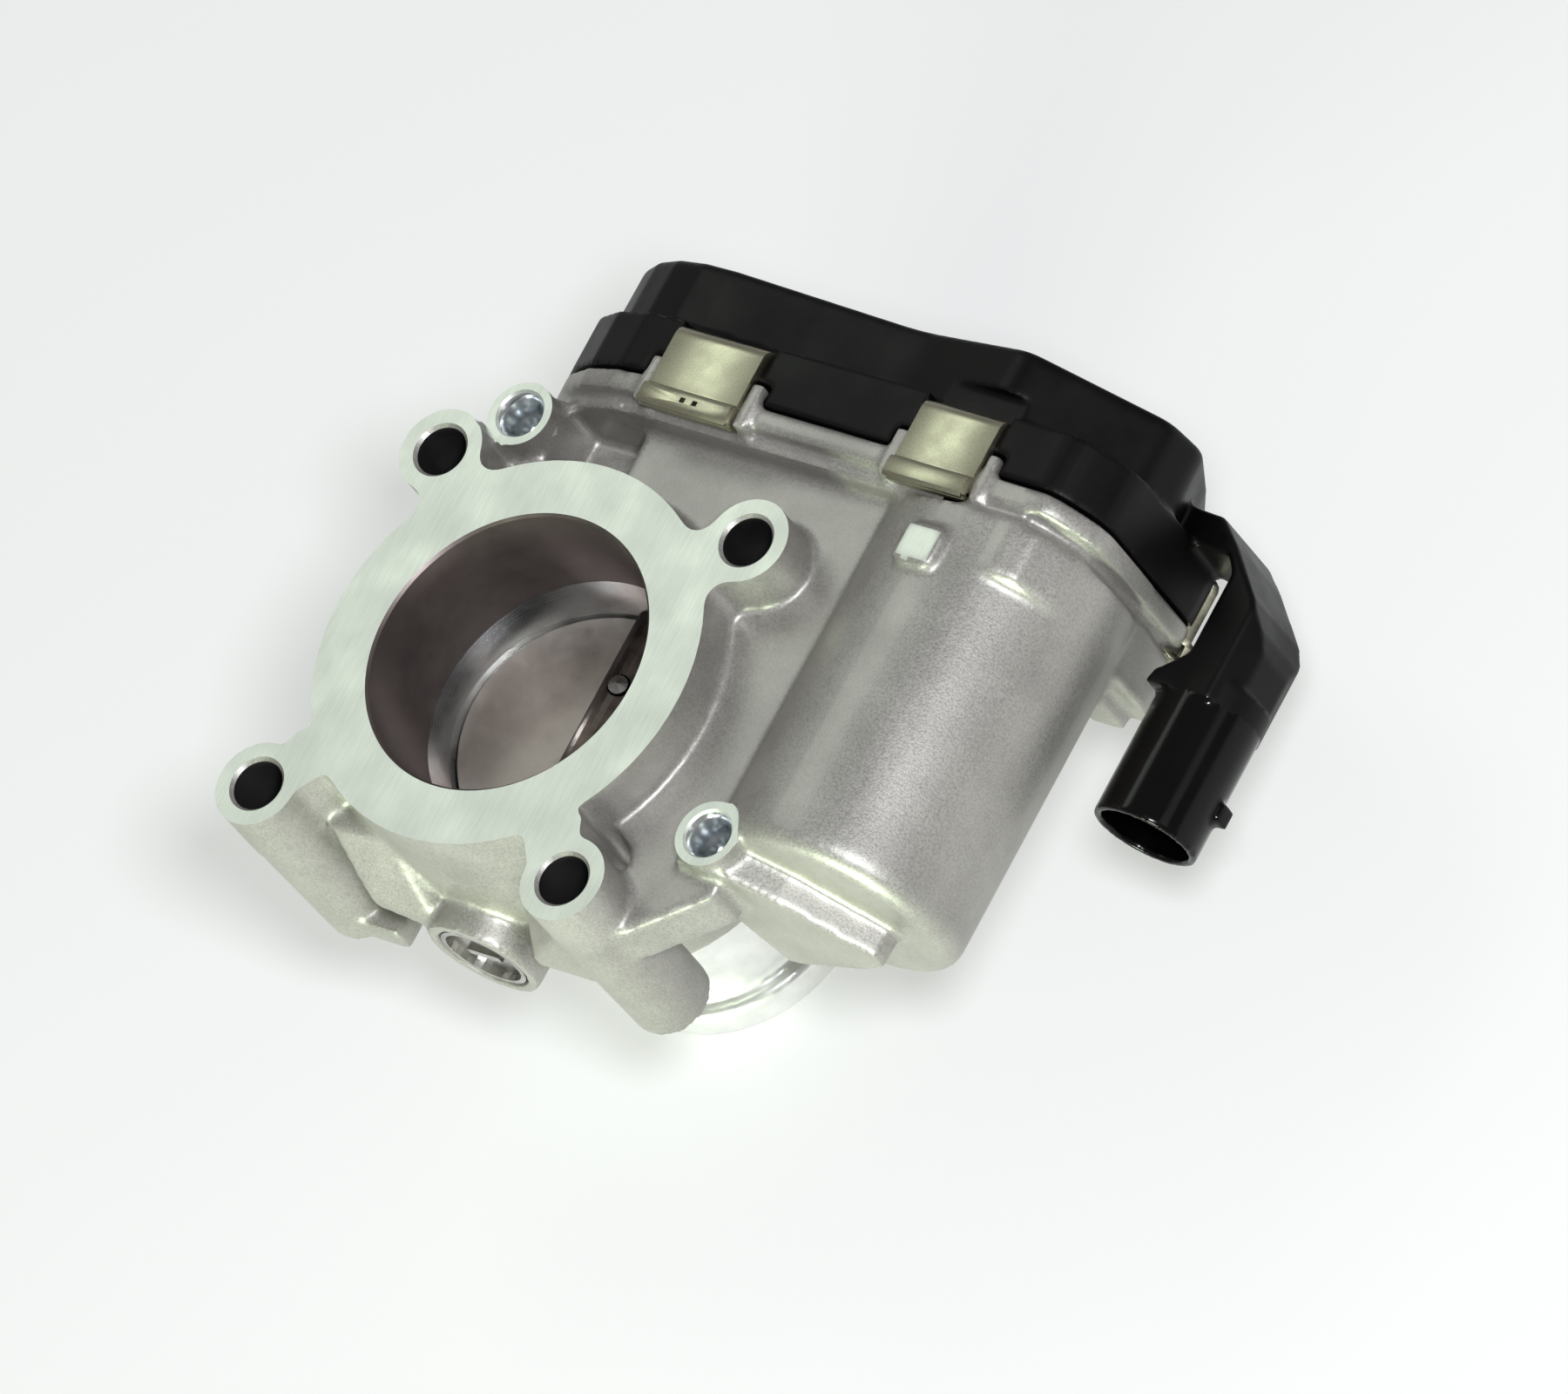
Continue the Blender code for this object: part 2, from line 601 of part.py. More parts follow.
def throttle_group():
    """Shaft, plate, screws, sector gear and sensor rotor, which turn together."""
    axis = joint_empty("throttle_axis", THROTTLE_AXIS)
    here = (0.0, 0.0)
    shaft_profile = [(0.0, -31.4), (SHAFT_R - 0.5, -31.4), (SHAFT_R, -30.9), (SHAFT_R, 52.0),
                     (SHAFT_R - 0.5, 52.5), (0.0, 52.5)]
    shaft = node("throttle_shaft", turned(shaft_profile, "Y", here, 24), "steel", axis)
    slot = block((-8.0, -21.2, -PLATE_THICK / 2 - GAP), (8.0, 21.2, PLATE_THICK / 2 + GAP))
    bmesh.ops.rotate(slot, cent=(0, 0, 0), matrix=Matrix.Rotation(REST_TILT, 3, "Y"), verts=slot.verts)
    cuts = [slot]
    for y in (-9.0, 9.0):
        hole = rod("Z", (0.0, y), 1.5 + GAP, -6.0, 6.0, 14)
        bmesh.ops.rotate(hole, cent=(0, 0, 0), matrix=Matrix.Rotation(REST_TILT, 3, "Y"), verts=hole.verts)
        cuts.append(hole)
    tools = []
    for cutter in cuts:
        bmesh.ops.translate(cutter, vec=(THROTTLE_AXIS[0], 0.0, THROTTLE_AXIS[1]), verts=cutter.verts)
        tools.append(("DIFFERENCE", cutter))
    combine(shaft, tools)
    shaft.parent = axis

    plate = node("throttle_plate", turned([(0.0, -PLATE_THICK / 2), (PLATE_R - 0.4, -PLATE_THICK / 2),
                                           (PLATE_R, 0.0), (PLATE_R - 0.4, PLATE_THICK / 2),
                                           (0.0, PLATE_THICK / 2)], "Z", here, 48), "aluminium", axis)
    holes = []
    for y in (-9.0, 9.0):
        hole = rod("Z", (0.0, y), 1.5 + GAP, -6.0, 6.0, 14)
        bmesh.ops.translate(hole, vec=(THROTTLE_AXIS[0], 0.0, THROTTLE_AXIS[1]), verts=hole.verts)
        holes.append(("DIFFERENCE", hole))
    combine(plate, holes)
    plate.rotation_euler = (0.0, REST_TILT, 0.0)
    for number, y in enumerate((-9.0, 9.0), start=1):
        profile = [(0.0, -5.6), (2.3, -5.2), (2.6, -SHAFT_R - 0.35), (1.5, -SHAFT_R - 0.35), (1.5, 4.3), (0.0, 4.7)]
        screw = node(f"plate_screw_{number}", turned(profile, "Z", (0.0, y), 14), "steel", axis)
        screw.rotation_euler = (0.0, REST_TILT, 0.0)

    phase = heading(THROTTLE_AXIS, GEAR_AXIS)
    outline = gear_outline(here, SECTOR_TEETH, SHAFT_STAGE_MODULE, phase, -2, 11, hub=8.5)
    sector = node("sector_gear", prism(outline, "Y", *SECTOR_LAYER), "nylon", axis)
    bmesh_bore = rod("Y", here, SHAFT_R + GAP, 40.0, 56.0, 24)
    bmesh.ops.translate(bmesh_bore, vec=(THROTTLE_AXIS[0], 0.0, THROTTLE_AXIS[1]), verts=bmesh_bore.verts)
    combine(sector, [("DIFFERENCE", bmesh_bore)])

    rotor_profile = [(0.0, 53.0), (4.4, 53.0), (4.4, 57.8), (0.0, 57.8)]
    rotor = node("sensor_rotor", turned(rotor_profile, "Y", here, 20), "aluminium", axis)
    target = []
    lobes = 3
    for number in range(lobes):
        middle = math.tau * number / lobes
        target += arc(here, 13.0, middle - 0.5, middle + 0.5, 8)
        target += arc(here, 6.0, middle + 0.7, middle + math.tau / lobes - 0.7, 5)
    disc = prism(target, "Y", 57.2, 58.4)
    bmesh.ops.translate(disc, vec=(THROTTLE_AXIS[0], 0.0, THROTTLE_AXIS[1]), verts=disc.verts)
    combine(rotor, [("UNION", disc)])


def shaft_supports():
    """Bearings, seal, plug and return spring that carry the throttle shaft."""
    inner = SHAFT_R + GAP
    node("rear_shaft_bearing", tube("Y", THROTTLE_AXIS, inner, BEARING_R, -31.6, -24.0, 28), "steel")
    node("front_shaft_bearing", tube("Y", THROTTLE_AXIS, inner, BEARING_R, 30.0, 39.0, 28), "steel")
    node("shaft_seal", tube("Y", THROTTLE_AXIS, inner, BEARING_R, 39.4, 43.2, 28), "rubber")
    plug = node("shaft_end_plug", turned([(0.0, -33.9), (6.1, -33.9), (6.1, -35.1), (6.9, -35.1),
                                          (6.9, -32.3), (0.0, -32.3)], "Y", THROTTLE_AXIS, 32), "steel")
    x, z = THROTTLE_AXIS
    combine(plug, [("UNION", block((x - 2.9, -34.7, z - 0.7), (x + 2.9, -33.5, z + 0.7)))])

    wire = bpy.data.curves.new("return_spring", "CURVE")
    wire.dimensions = "3D"
    wire.bevel_depth = 0.55 * MM
    wire.bevel_resolution = 1
    wire.use_fill_caps = True
    turns = 5.0
    steps = 100
    radius = 10.0
    points = []
    for step in range(steps + 1):
        angle = math.tau * turns * step / steps
        along = 34.6 + 1.75 * turns * step / steps
        points.append((x + radius * math.cos(angle), along, z + radius * math.sin(angle)))
    spline = wire.splines.new("POLY")
    spline.points.add(len(points) - 1)
    for point, place in zip(spline.points, points):
        point.co = (place[0] * MM, place[1] * MM, place[2] * MM, 1.0)
    spring = bpy.data.objects.new("return_spring", wire)
    bpy.context.collection.objects.link(spring)
    wire.materials.append(finish("return_spring_finish", *FINISHES["steel"]))


# ---------------------------------------------------------------- gear train

def intermediate_group():
    """Double gear on its fixed pin."""
    axis = joint_empty("intermediate_axis", GEAR_AXIS)
    here = (0.0, 0.0)
    to_throttle = heading(GEAR_AXIS, THROTTLE_AXIS)
    pinion = gear_outline(here, SMALL_PINION_TEETH, SHAFT_STAGE_MODULE,
                          to_throttle + math.pi / SMALL_PINION_TEETH)
    gear = node("intermediate_gear", prism(pinion, "Y", SECTOR_LAYER[0], LARGE_LAYER[0] + 0.6), "nylon", axis)
    to_motor = heading(GEAR_AXIS, MOTOR_AXIS)
    wheel = prism(gear_outline(here, LARGE_GEAR_TEETH, MOTOR_STAGE_MODULE, to_motor), "Y", *LARGE_LAYER)
    bore = rod("Y", here, 2.5 + GAP, 40.0, 58.0, 20)
    for tool in (wheel, bore):
        bmesh.ops.translate(tool, vec=(GEAR_AXIS[0], 0.0, GEAR_AXIS[1]), verts=tool.verts)
    combine(gear, [("UNION", wheel), ("DIFFERENCE", bore)])
    pin = [(0.0, 36.9), (2.5, 36.9), (2.5, 54.0), (2.2, 54.3), (0.0, 54.3)]
    node("intermediate_gear_pin", turned(pin, "Y", GEAR_AXIS, 20), "steel")


# ---------------------------------------------------------------- motor

def motor_rotor():
    """Armature, commutator, shaft and pinion, which turn together."""
    axis = joint_empty("motor_axis", MOTOR_AXIS)
    here = (0.0, 0.0)
    shaft = [(0.0, -10.6), (1.6, -10.6), (1.6, 55.4), (0.0, 55.4)]
    node("motor_shaft", turned(shaft, "Y", here, 16), "steel", axis)
    core = []
    poles = 5
    for number in range(poles):
        middle = math.tau * number / poles
        core += arc(here, 11.6, middle - 0.48, middle + 0.48, 5)
        core += arc(here, 9.8, middle + 0.48, middle + 0.28, 1)
        core += arc(here, 4.6, middle + 0.42, middle + math.tau / poles - 0.42, 1)
        core += arc(here, 9.8, middle + math.tau / poles - 0.28, middle + math.tau / poles - 0.48, 1)
    armature = node("motor_armature", prism(core, "Y", -3.0, 26.0), "steel", axis)
    ring = node("motor_commutator", tube("Y", here, 1.6 + GAP, 4.4, 30.5, 39.5, 20), "copper", axis)
    bore = rod("Y", MOTOR_AXIS, 1.6 + GAP, -6.0, 30.0, 16)
    combine(armature, [("DIFFERENCE", bore)])
    ring.parent = axis
    coils = []
    for low, high in ((-6.6, -3.3), (26.3, 29.6)):
        coils.append(turned([(3.4, low), (8.6, low), (9.4, low + 1.2), (9.4, high), (3.4, high)], "Y", here, 24))
    for name, coil in zip(("rear_winding", "front_winding"), coils):
        node(name, coil, "copper", axis)
    teeth_phase = heading(MOTOR_AXIS, GEAR_AXIS) + math.pi / MOTOR_PINION_TEETH
    outline = gear_outline(here, MOTOR_PINION_TEETH, MOTOR_STAGE_MODULE, teeth_phase)
    pinion = node("motor_pinion", prism(outline, "Y", LARGE_LAYER[0] - 0.2, LARGE_LAYER[1] + 0.4), "brass", axis)
    combine(pinion, [("DIFFERENCE", rod("Y", MOTOR_AXIS, 1.6 + GAP, 40.0, 60.0, 16))])


def motor_stator():
    """Can, magnets, bushes, end plate with brush holders, brushes, terminals and screws."""
    x, z = MOTOR_AXIS
    can = [(0.0, -11.4), (MOTOR_CAN_R - 1.0, -11.4), (MOTOR_CAN_R, -10.4), (MOTOR_CAN_R, 41.2),
           (MOTOR_CAN_R - 1.1, 41.2), (MOTOR_CAN_R - 1.1, -10.3), (4.6, -10.3), (4.6, -6.6), (3.7, -6.6),
           (3.7, -10.9), (0.0, -10.9)]
    node("motor_can", turned(can, "Y", MOTOR_AXIS, 40), "steel")
    for number, middle in enumerate((0.0, math.pi), start=1):
        outline = arc(MOTOR_AXIS, 14.5, middle - 1.15, middle + 1.15, 14)
        outline += arc(MOTOR_AXIS, 12.1, middle + 1.15, middle - 1.15, 14)
        node(f"motor_magnet_{number}", prism(outline, "Y", -5.0, 28.0), "ferrite")
    node("motor_rear_bush", tube("Y", MOTOR_AXIS, 1.6 + GAP, 3.4, -10.5, -7.2, 20), "brass")
    node("motor_front_bush", tube("Y", MOTOR_AXIS, 1.6 + GAP, 3.6, 41.6, 45.0, 20), "brass")

    plate = node("motor_end_plate", rod("Y", MOTOR_AXIS, 15.6, 41.6, 45.4, 40), "plastic")
    tools = []
    for angle in MOTOR_SCREW_ANGLES:
        ear = (x + MOTOR_SCREW_RADIUS * math.cos(angle), z + MOTOR_SCREW_RADIUS * math.sin(angle))
        tools.append(("UNION", rod("Y", ear, 2.9, FLOOR_Y + GAP, 45.4, 16)))
    for side in (-1.0, 1.0):
        low, high = sorted((x + side * 5.3, x + side * 11.5))
        tools.append(("UNION", block((low, 32.0, z - 3.0), (high, 42.0, z + 3.0))))
        tools.append(("DIFFERENCE", block((low - 2.0, 33.6, z - 2.0), (high + 2.0, 38.6, z + 2.0))))
    tools.append(("DIFFERENCE", rod("Y", MOTOR_AXIS, 3.6 + GAP, 39.0, 50.0, 20)))
    for angle in MOTOR_SCREW_ANGLES:
        ear = (x + MOTOR_SCREW_RADIUS * math.cos(angle), z + MOTOR_SCREW_RADIUS * math.sin(angle))
        tools.append(("DIFFERENCE", rod("Y", ear, 1.3, 40.0, 50.0, 12)))
    combine(plate, tools)
    for number, side in enumerate((-1.0, 1.0), start=1):
        low, high = sorted((x + side * 4.8, x + side * 10.8))
        node(f"motor_brush_{number}", block((low, 33.9, z - 1.7), (high, 38.3, z + 1.7)), "ferrite")
        outline = [(x + 8.8, z + side * 8.4), (x + 9.6, z + side * 8.4), (x + 9.6, z + side * 4.4),
                   (x + 8.8, z + side * 4.4)]
        node(f"motor_terminal_{number}", prism(outline, "Y", 45.7, 51.5), "brass")
    for number, angle in enumerate(MOTOR_SCREW_ANGLES, start=1):
        ear = (x + MOTOR_SCREW_RADIUS * math.cos(angle), z + MOTOR_SCREW_RADIUS * math.sin(angle))
        profile = [(0.0, 35.0), (1.0, 35.6), (1.0, 45.7), (2.1, 45.7), (2.1, 47.0), (1.4, 47.5), (0.0, 47.5)]
        node(f"motor_screw_{number}", turned(profile, "Y", ear, 14), "steel")
    node("motor_wave_washer", tube("Y", MOTOR_AXIS, 6.0, 9.0, -12.0, -11.7, 36), "steel")


# ---------------------------------------------------------------- cover, connector and electronics

def gear_cover():
    """Moulded cover with its raised dome, elbow and connector shroud."""
    cover = node("gear_cover", prism(rim_outline(0.0), "Y", RIM_TOP_Y + GAP, COVER_RIM_Y), "plastic")
    px, pz = PLUG_AXIS
    elbow = [(66.0, 55.7), (82.6, 55.7), (84.6, 53.0), (84.6, 40.0), (80.5, 36.0), (80.0, 34.0), (93.6, 34.0),
             (93.6, 44.0), (92.6, 46.8), (90.2, 50.6), (83.0, 57.6), (78.8, 61.0), (66.0, 61.8)]
    section = [(66.0, pz - 8.0), (91.8, pz - 8.0), (93.7, pz - 4.0), (93.7, pz + 4.0), (91.0, pz + 8.0),
               (66.0, pz + 8.0)]
    arm = node("connector_elbow", prism(elbow, "Z", pz - 9.0, pz + 9.0), "plastic")
    combine(arm, [("INTERSECT", prism(section, "Y", 30.0, 66.0))])
    arm_body = bmesh.new()
    arm_body.from_mesh(arm.data)
    bmesh.ops.scale(arm_body, vec=(1.0 / MM, 1.0 / MM, 1.0 / MM), verts=arm_body.verts)
    bpy.data.objects.remove(arm, do_unlink=True)
    dome = [(COVER_RIM_Y - 1.0, dome_outline(0.0)), (COVER_TOP_Y - 1.2, dome_outline(0.1)),
            (COVER_TOP_Y - 0.4, dome_outline(0.3)), (COVER_TOP_Y, dome_outline(0.9))]
    tools = [
        ("UNION", loft(dome, "Y")),
        ("UNION", arm_body),
        ("UNION", rod("Y", PLUG_AXIS, SHROUD_R, SHROUD_MOUTH_Y, 38.0, 36)),
        ("UNION", block((px + 6.6, 20.0, pz - 4.2), (px + 9.0, 23.0, pz - 1.2))),
        ("DIFFERENCE", rod("Y", PLUG_AXIS, SHROUD_BORE_R, 5.0, SHROUD_FLOOR_Y, 32)),
        ("DIFFERENCE", prism(rim_outline(RIM_WALL + 0.1), "Y", 40.0, RIM_CEILING_Y)),
        ("DIFFERENCE", rod("Y", GEAR_AXIS, 22.1, 40.0, RIM_CEILING_Y, 48)),
        ("DIFFERENCE", rod("Y", THROTTLE_AXIS, 25.9, 40.0, RIM_CEILING_Y, 48)),
        ("DIFFERENCE", prism(dome_outline(DOME_WALL), "Y", RIM_CEILING_Y - 2.0, COVER_CEILING_Y)),
        *cover_clip_seats(),
    ]
    for column in (-2.6, 0.0, 2.6):
        for row in (-1.6, 1.6):
            hole = block((px + column - 0.7, 20.0, pz + row - 0.7), (px + column + 0.7, 38.0, pz + row + 0.7))
            tools.append(("DIFFERENCE", hole))
    combine(cover, tools)
    number = 0
    for column in (-2.6, 0.0, 2.6):
        for row in (-1.6, 1.6):
            number += 1
            pin = block((px + column - 0.4, 21.5, pz + row - 0.4), (px + column + 0.4, 37.7, pz + row + 0.4))
            node(f"connector_pin_{number}", pin, "brass")


def cover_clip_seats():
    """Pockets in the cover rim where the clips hook over it."""
    seats = []
    for x, z, angle, width in CLIP_PLACES:
        half = width / 2.0 + 0.6
        seat = block((-2.4, CLIP_SEAT_Y, -half), (2.0, 60.0, half))
        front = angle == 90.0
        relief = block((-2.0, 40.0, -half - 2.4), (2.0, 50.4, half + 2.4)) if front else None
        for tool in (seat, relief):
            if tool is None:
                continue
            turn = Matrix.Rotation(-math.radians(angle), 3, "Y")
            bmesh.ops.rotate(tool, cent=(0, 0, 0), matrix=turn, verts=tool.verts)
            bmesh.ops.translate(tool, vec=(x, 0.0, z), verts=tool.verts)
            seats.append(("DIFFERENCE", tool))
    return seats


def seal_and_board():
    """Cover seal in its groove and the sensor board under the dome."""
    seal = node("cover_seal", prism(rim_outline(1.9), "Y", RIM_TOP_Y + 0.05, RIM_TOP_Y + 0.25), "rubber")
    combine(seal, [("DIFFERENCE", prism(rim_outline(2.8), "Y", 40.0, 60.0))])
    board = rounded([(-17.0, -14.0, 3.0), (-17.0, -45.0, 3.0), (44.0, -38.0, 3.0), (44.0, -14.0, 3.0)], 3)
    node("sensor_board", prism(board, "Y", 60.6, 62.2), "board")


def clips():
    """Spring clips that hold the cover to the gear housing."""
    for number, (x, z, angle, width) in enumerate(CLIP_PLACES, start=1):
        half = width / 2.0
        reach = GAP
        top = CLIP_SEAT_Y + GAP
        low = RIM_BOTTOM_Y - GAP
        outline = [
            (reach + CLIP_THICK, low - 1.6), (reach + CLIP_THICK, top + CLIP_THICK), (-2.0, top + CLIP_THICK),
            (-2.0, top), (reach, top), (reach, low), (-1.6, low), (-1.6, low - CLIP_THICK),
            (0.9, low - CLIP_THICK - 0.6), (0.9, low - 1.6),
        ]
        bm = prism(outline, "Z", -half, half)
        turn = Matrix.Rotation(-math.radians(angle), 3, "Y")
        bmesh.ops.rotate(bm, cent=(0, 0, 0), matrix=turn, verts=bm.verts)
        bmesh.ops.translate(bm, vec=(x, 0.0, z), verts=bm.verts)
        node(f"cover_clip_{number}", bm, "nickel")


def build():
    """Make every piece."""
    clear_scene()
    housing()
    shaft_supports()
    throttle_group()
    intermediate_group()
    motor_rotor()
    motor_stator()
    gear_cover()
    seal_and_board()
    clips()


build()
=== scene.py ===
"""Looks of a motor-driven throttle body: cast housing, moulded gear cover, spring clips and the parts inside."""

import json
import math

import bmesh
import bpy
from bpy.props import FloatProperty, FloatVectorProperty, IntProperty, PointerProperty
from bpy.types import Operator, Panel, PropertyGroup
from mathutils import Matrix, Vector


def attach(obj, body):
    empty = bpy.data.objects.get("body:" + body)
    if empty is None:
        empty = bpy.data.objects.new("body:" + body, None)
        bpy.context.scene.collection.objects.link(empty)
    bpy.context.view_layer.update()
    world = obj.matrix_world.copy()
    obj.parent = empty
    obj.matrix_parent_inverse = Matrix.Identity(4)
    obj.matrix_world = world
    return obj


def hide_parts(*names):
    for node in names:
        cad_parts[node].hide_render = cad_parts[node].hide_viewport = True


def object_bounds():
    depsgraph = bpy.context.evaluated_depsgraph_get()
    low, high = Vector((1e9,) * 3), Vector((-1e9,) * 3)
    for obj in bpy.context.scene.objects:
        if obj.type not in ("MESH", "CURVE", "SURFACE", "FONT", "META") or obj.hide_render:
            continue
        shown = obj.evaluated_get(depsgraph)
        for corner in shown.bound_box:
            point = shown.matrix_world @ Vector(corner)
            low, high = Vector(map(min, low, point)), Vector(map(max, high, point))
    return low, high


bl_info = {
    "name": "Throttle Body Maker",
    "version": (1, 0, 0),
    "blender": (4, 5, 0),
    "location": "View3D > Sidebar > Throttle Body",
    "description": "Makes the housing, cover, spring clips and finishes of a motor-driven throttle body",
    "category": "Object",
}

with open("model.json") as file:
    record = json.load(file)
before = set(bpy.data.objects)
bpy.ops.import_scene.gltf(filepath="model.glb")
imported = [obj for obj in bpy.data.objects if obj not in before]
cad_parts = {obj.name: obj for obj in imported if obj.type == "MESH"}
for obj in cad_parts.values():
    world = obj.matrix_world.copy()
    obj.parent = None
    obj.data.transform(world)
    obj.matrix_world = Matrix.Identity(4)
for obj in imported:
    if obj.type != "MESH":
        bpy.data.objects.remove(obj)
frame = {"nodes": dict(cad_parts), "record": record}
CAD_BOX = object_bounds()

MM = 0.001
# places across the bore in mm, seen along Z
BOLTS = ((28.2, 26.4), (-28.2, 26.4), (-28.2, -30.1), (28.2, -30.1))
SCREW_BOSSES = ((-21.8, 36.6), (44.0, -15.9))
BOLT_HOLE_RADIUS = 3.9
SCREW_FACE_Z = -4.0
SEAT_TOP_Z = -19.4
SHAFT_LINE_Z = -29.4
PLUG_LINE = (87.3, -37.0)
SHROUD_RADIUS = 8.9
SHROUD_END_Y = 34.2
HUB_RADIUS = 14.4
PLATE_RADIUS = 20.6
PLATE_TILT = math.radians(12.0)
CASTING_TRIANGLES = 150000
COVER_TRIANGLES = 160000
# each clip's CAD node, its face at x and z in mm, the way it faces in degrees, and its width in mm
CLIPS = (
    ("cover_clip_1", 7.2, -0.9, 90.0, 15.5),
    ("cover_clip_2", 50.7, -1.7, 90.0, 13.5),
    ("cover_clip_3", 72.3, -43.7, -37.25, 9.0),
    ("cover_clip_4", 6.0, -58.8, -90.0, 15.5),
    ("cover_clip_5", 40.0, -55.4, -82.55, 13.5),
)
# centre line of a clip's strip in mm: outwards from the clip's face, and height
CLIP_BEND = (
    (-1.9, 55.0), (-0.9, 55.0), (-0.1, 54.85), (0.45, 54.4), (0.68, 53.7),
    (0.68, 53.2), (0.68, 45.7), (0.68, 45.3), (1.1, 44.9), (1.55, 44.75),
    (1.7, 44.4), (1.7, 42.5), (1.45, 42.2), (0.2, 42.35), (-1.4, 42.9),
)
# each lamp's place from the middle of the object and size in metres, share of its setting, and colour
LAMPS = (
    ("low_lamp", (0.12, -1.0, 0.06), 0.35, "key", 1.0, (0.84, 1.0, 0.74)),
    ("face_lamp", (-0.55, 0.35, 0.80), 0.45, "fill", 1.0, (0.90, 1.0, 0.90)),
    ("side_lamp", (0.80, 0.15, 0.45), 0.30, "fill", 0.15, (1.0, 0.95, 0.97)),
    ("front_lamp", (0.62, -0.20, 0.80), 0.16, "front", 1.0, (0.93, 0.96, 1.0)),
)
LAMPS_AIM = Vector((0.022, 0.012, -0.03))
CAMERA_RIGHT = Vector((0.778, 0.459, -0.429)).normalized()
CAMERA_UP = Vector((-0.235, 0.846, 0.479))
CAMERA_AIM = Vector((0.0322, 0.0126, -0.0200))
CAMERA_DISTANCE = 3.0


# ---------------------------------------------------------------- helpers

def linear(code):
    """Linear colour of an sRGB hex code such as "C8B9A1"."""
    values = [int(code[place:place + 2], 16) / 255.0 for place in (0, 2, 4)]
    return tuple(v / 12.92 if v <= 0.04045 else ((v + 0.055) / 1.055) ** 2.4 for v in values) + (1.0,)


def add(tree, kind, values=None, links=None, **settings):
    """Adds one node to a tree, with its settings, its input values and the outputs that feed its inputs."""
    item = tree.nodes.new(kind)
    for name, value in settings.items():
        setattr(item, name, value)
    for name, value in (values or {}).items():
        item.inputs[name].default_value = value
    for name, (source, output) in (links or {}).items():
        tree.links.new(source.outputs[output], item.inputs[name])
    return item


def ramp_stops(item, *stops):
    """Sets the stops of a colour ramp, each a place and a colour."""
    band = item.color_ramp
    while len(band.elements) < len(stops):
        band.elements.new(1.0)
    for element, (place, colour) in zip(band.elements, stops):
        element.position = place
        element.color = colour


def new_material(name):
    """An empty node material with its output and Principled shader, and Object coordinates."""
    made = bpy.data.materials.new(name)
    made.use_nodes = True
    tree = made.node_tree
    tree.nodes.clear()
    shader = add(tree, "ShaderNodeBsdfPrincipled")
    add(tree, "ShaderNodeOutputMaterial", links={"Surface": (shader, "BSDF")})
    place = add(tree, "ShaderNodeTexCoord")
    return made, tree, shader, place


def soft_noise(tree, place, size, detail, **settings):
    """A noise whose grains are of one size in metres, in Object coordinates."""
    return add(tree, "ShaderNodeTexNoise", {"Scale": 1.0 / size, "Detail": detail, **settings},
               {"Vector": (place, "Object")})


def between(tree, source, low, high):
    """Maps the middle of a noise to the range from low to high."""
    return add(tree, "ShaderNodeMapRange", {"From Min": 0.3, "From Max": 0.7, "To Min": low, "To Max": high},
               {"Value": (source, "Fac")})


def surface(tree, shader, tone, dull, relief, strength, depth, metallic=0.0):
    """Feeds colour, roughness and a bump of one depth in mm into a shader."""
    bump = add(tree, "ShaderNodeBump", {"Strength": strength, "Distance": depth * MM}, {"Height": (relief, "Fac")})
    shader.inputs["Metallic"].default_value = metallic
    tree.links.new(tone, shader.inputs["Base Color"])
    tree.links.new(dull.outputs["Result"], shader.inputs["Roughness"])
    tree.links.new(bump.outputs["Normal"], shader.inputs["Normal"])


def deselect():
    """Nothing selected, in object mode."""
    if bpy.context.object and bpy.context.object.mode != "OBJECT":
        bpy.ops.object.mode_set(mode="OBJECT")
    bpy.ops.object.select_all(action="DESELECT")


def pick(item, *others):
    """Selects these pieces, the first one active."""
    deselect()
    for each in (item, *others):
        each.select_set(True)
    bpy.context.view_layer.objects.active = item


def named(name):
    """Names the piece that was just added."""
    item = bpy.context.object
    item.name = name
    item.data.name = name
    return item


def fix_place(item):
    """Applies turn, size and place, so the piece sits at the origin with its place in its mesh."""
    pick(item)
    bpy.ops.object.transform_apply(location=True, rotation=True, scale=True)
    return item


def apply_modifier(item, kind, **settings):
    """Adds a modifier with its settings and applies it."""
    pick(item)
    made = item.modifiers.new(kind.title(), kind)
    for name, value in settings.items():
        setattr(made, name, value)
    bpy.ops.object.modifier_apply(modifier=made.name)


def cad_copy(node, name):
    """A merged copy of a CAD solid as a new piece."""
    item = bpy.data.objects.new(name, frame["nodes"][node].data.copy())
    bpy.context.scene.collection.objects.link(item)
    item.data.materials.clear()
    pick(item)
    bpy.ops.object.mode_set(mode="EDIT")
    bpy.ops.mesh.select_all(action="SELECT")
    bpy.ops.mesh.remove_doubles(threshold=0.000002)
    bpy.ops.object.mode_set(mode="OBJECT")
    return item


def choose_faces(item, test):
    """Enters edit mode with the faces selected whose centre in mm and normal pass the test."""
    pick(item)
    bpy.ops.object.mode_set(mode="EDIT")
    bpy.ops.mesh.select_mode(type="FACE")
    bpy.ops.mesh.select_all(action="DESELECT")
    mesh = bmesh.from_edit_mesh(item.data)
    for face in mesh.faces:
        face.select_set(test(face.calc_center_median() / MM, face.normal))
    bmesh.update_edit_mesh(item.data)


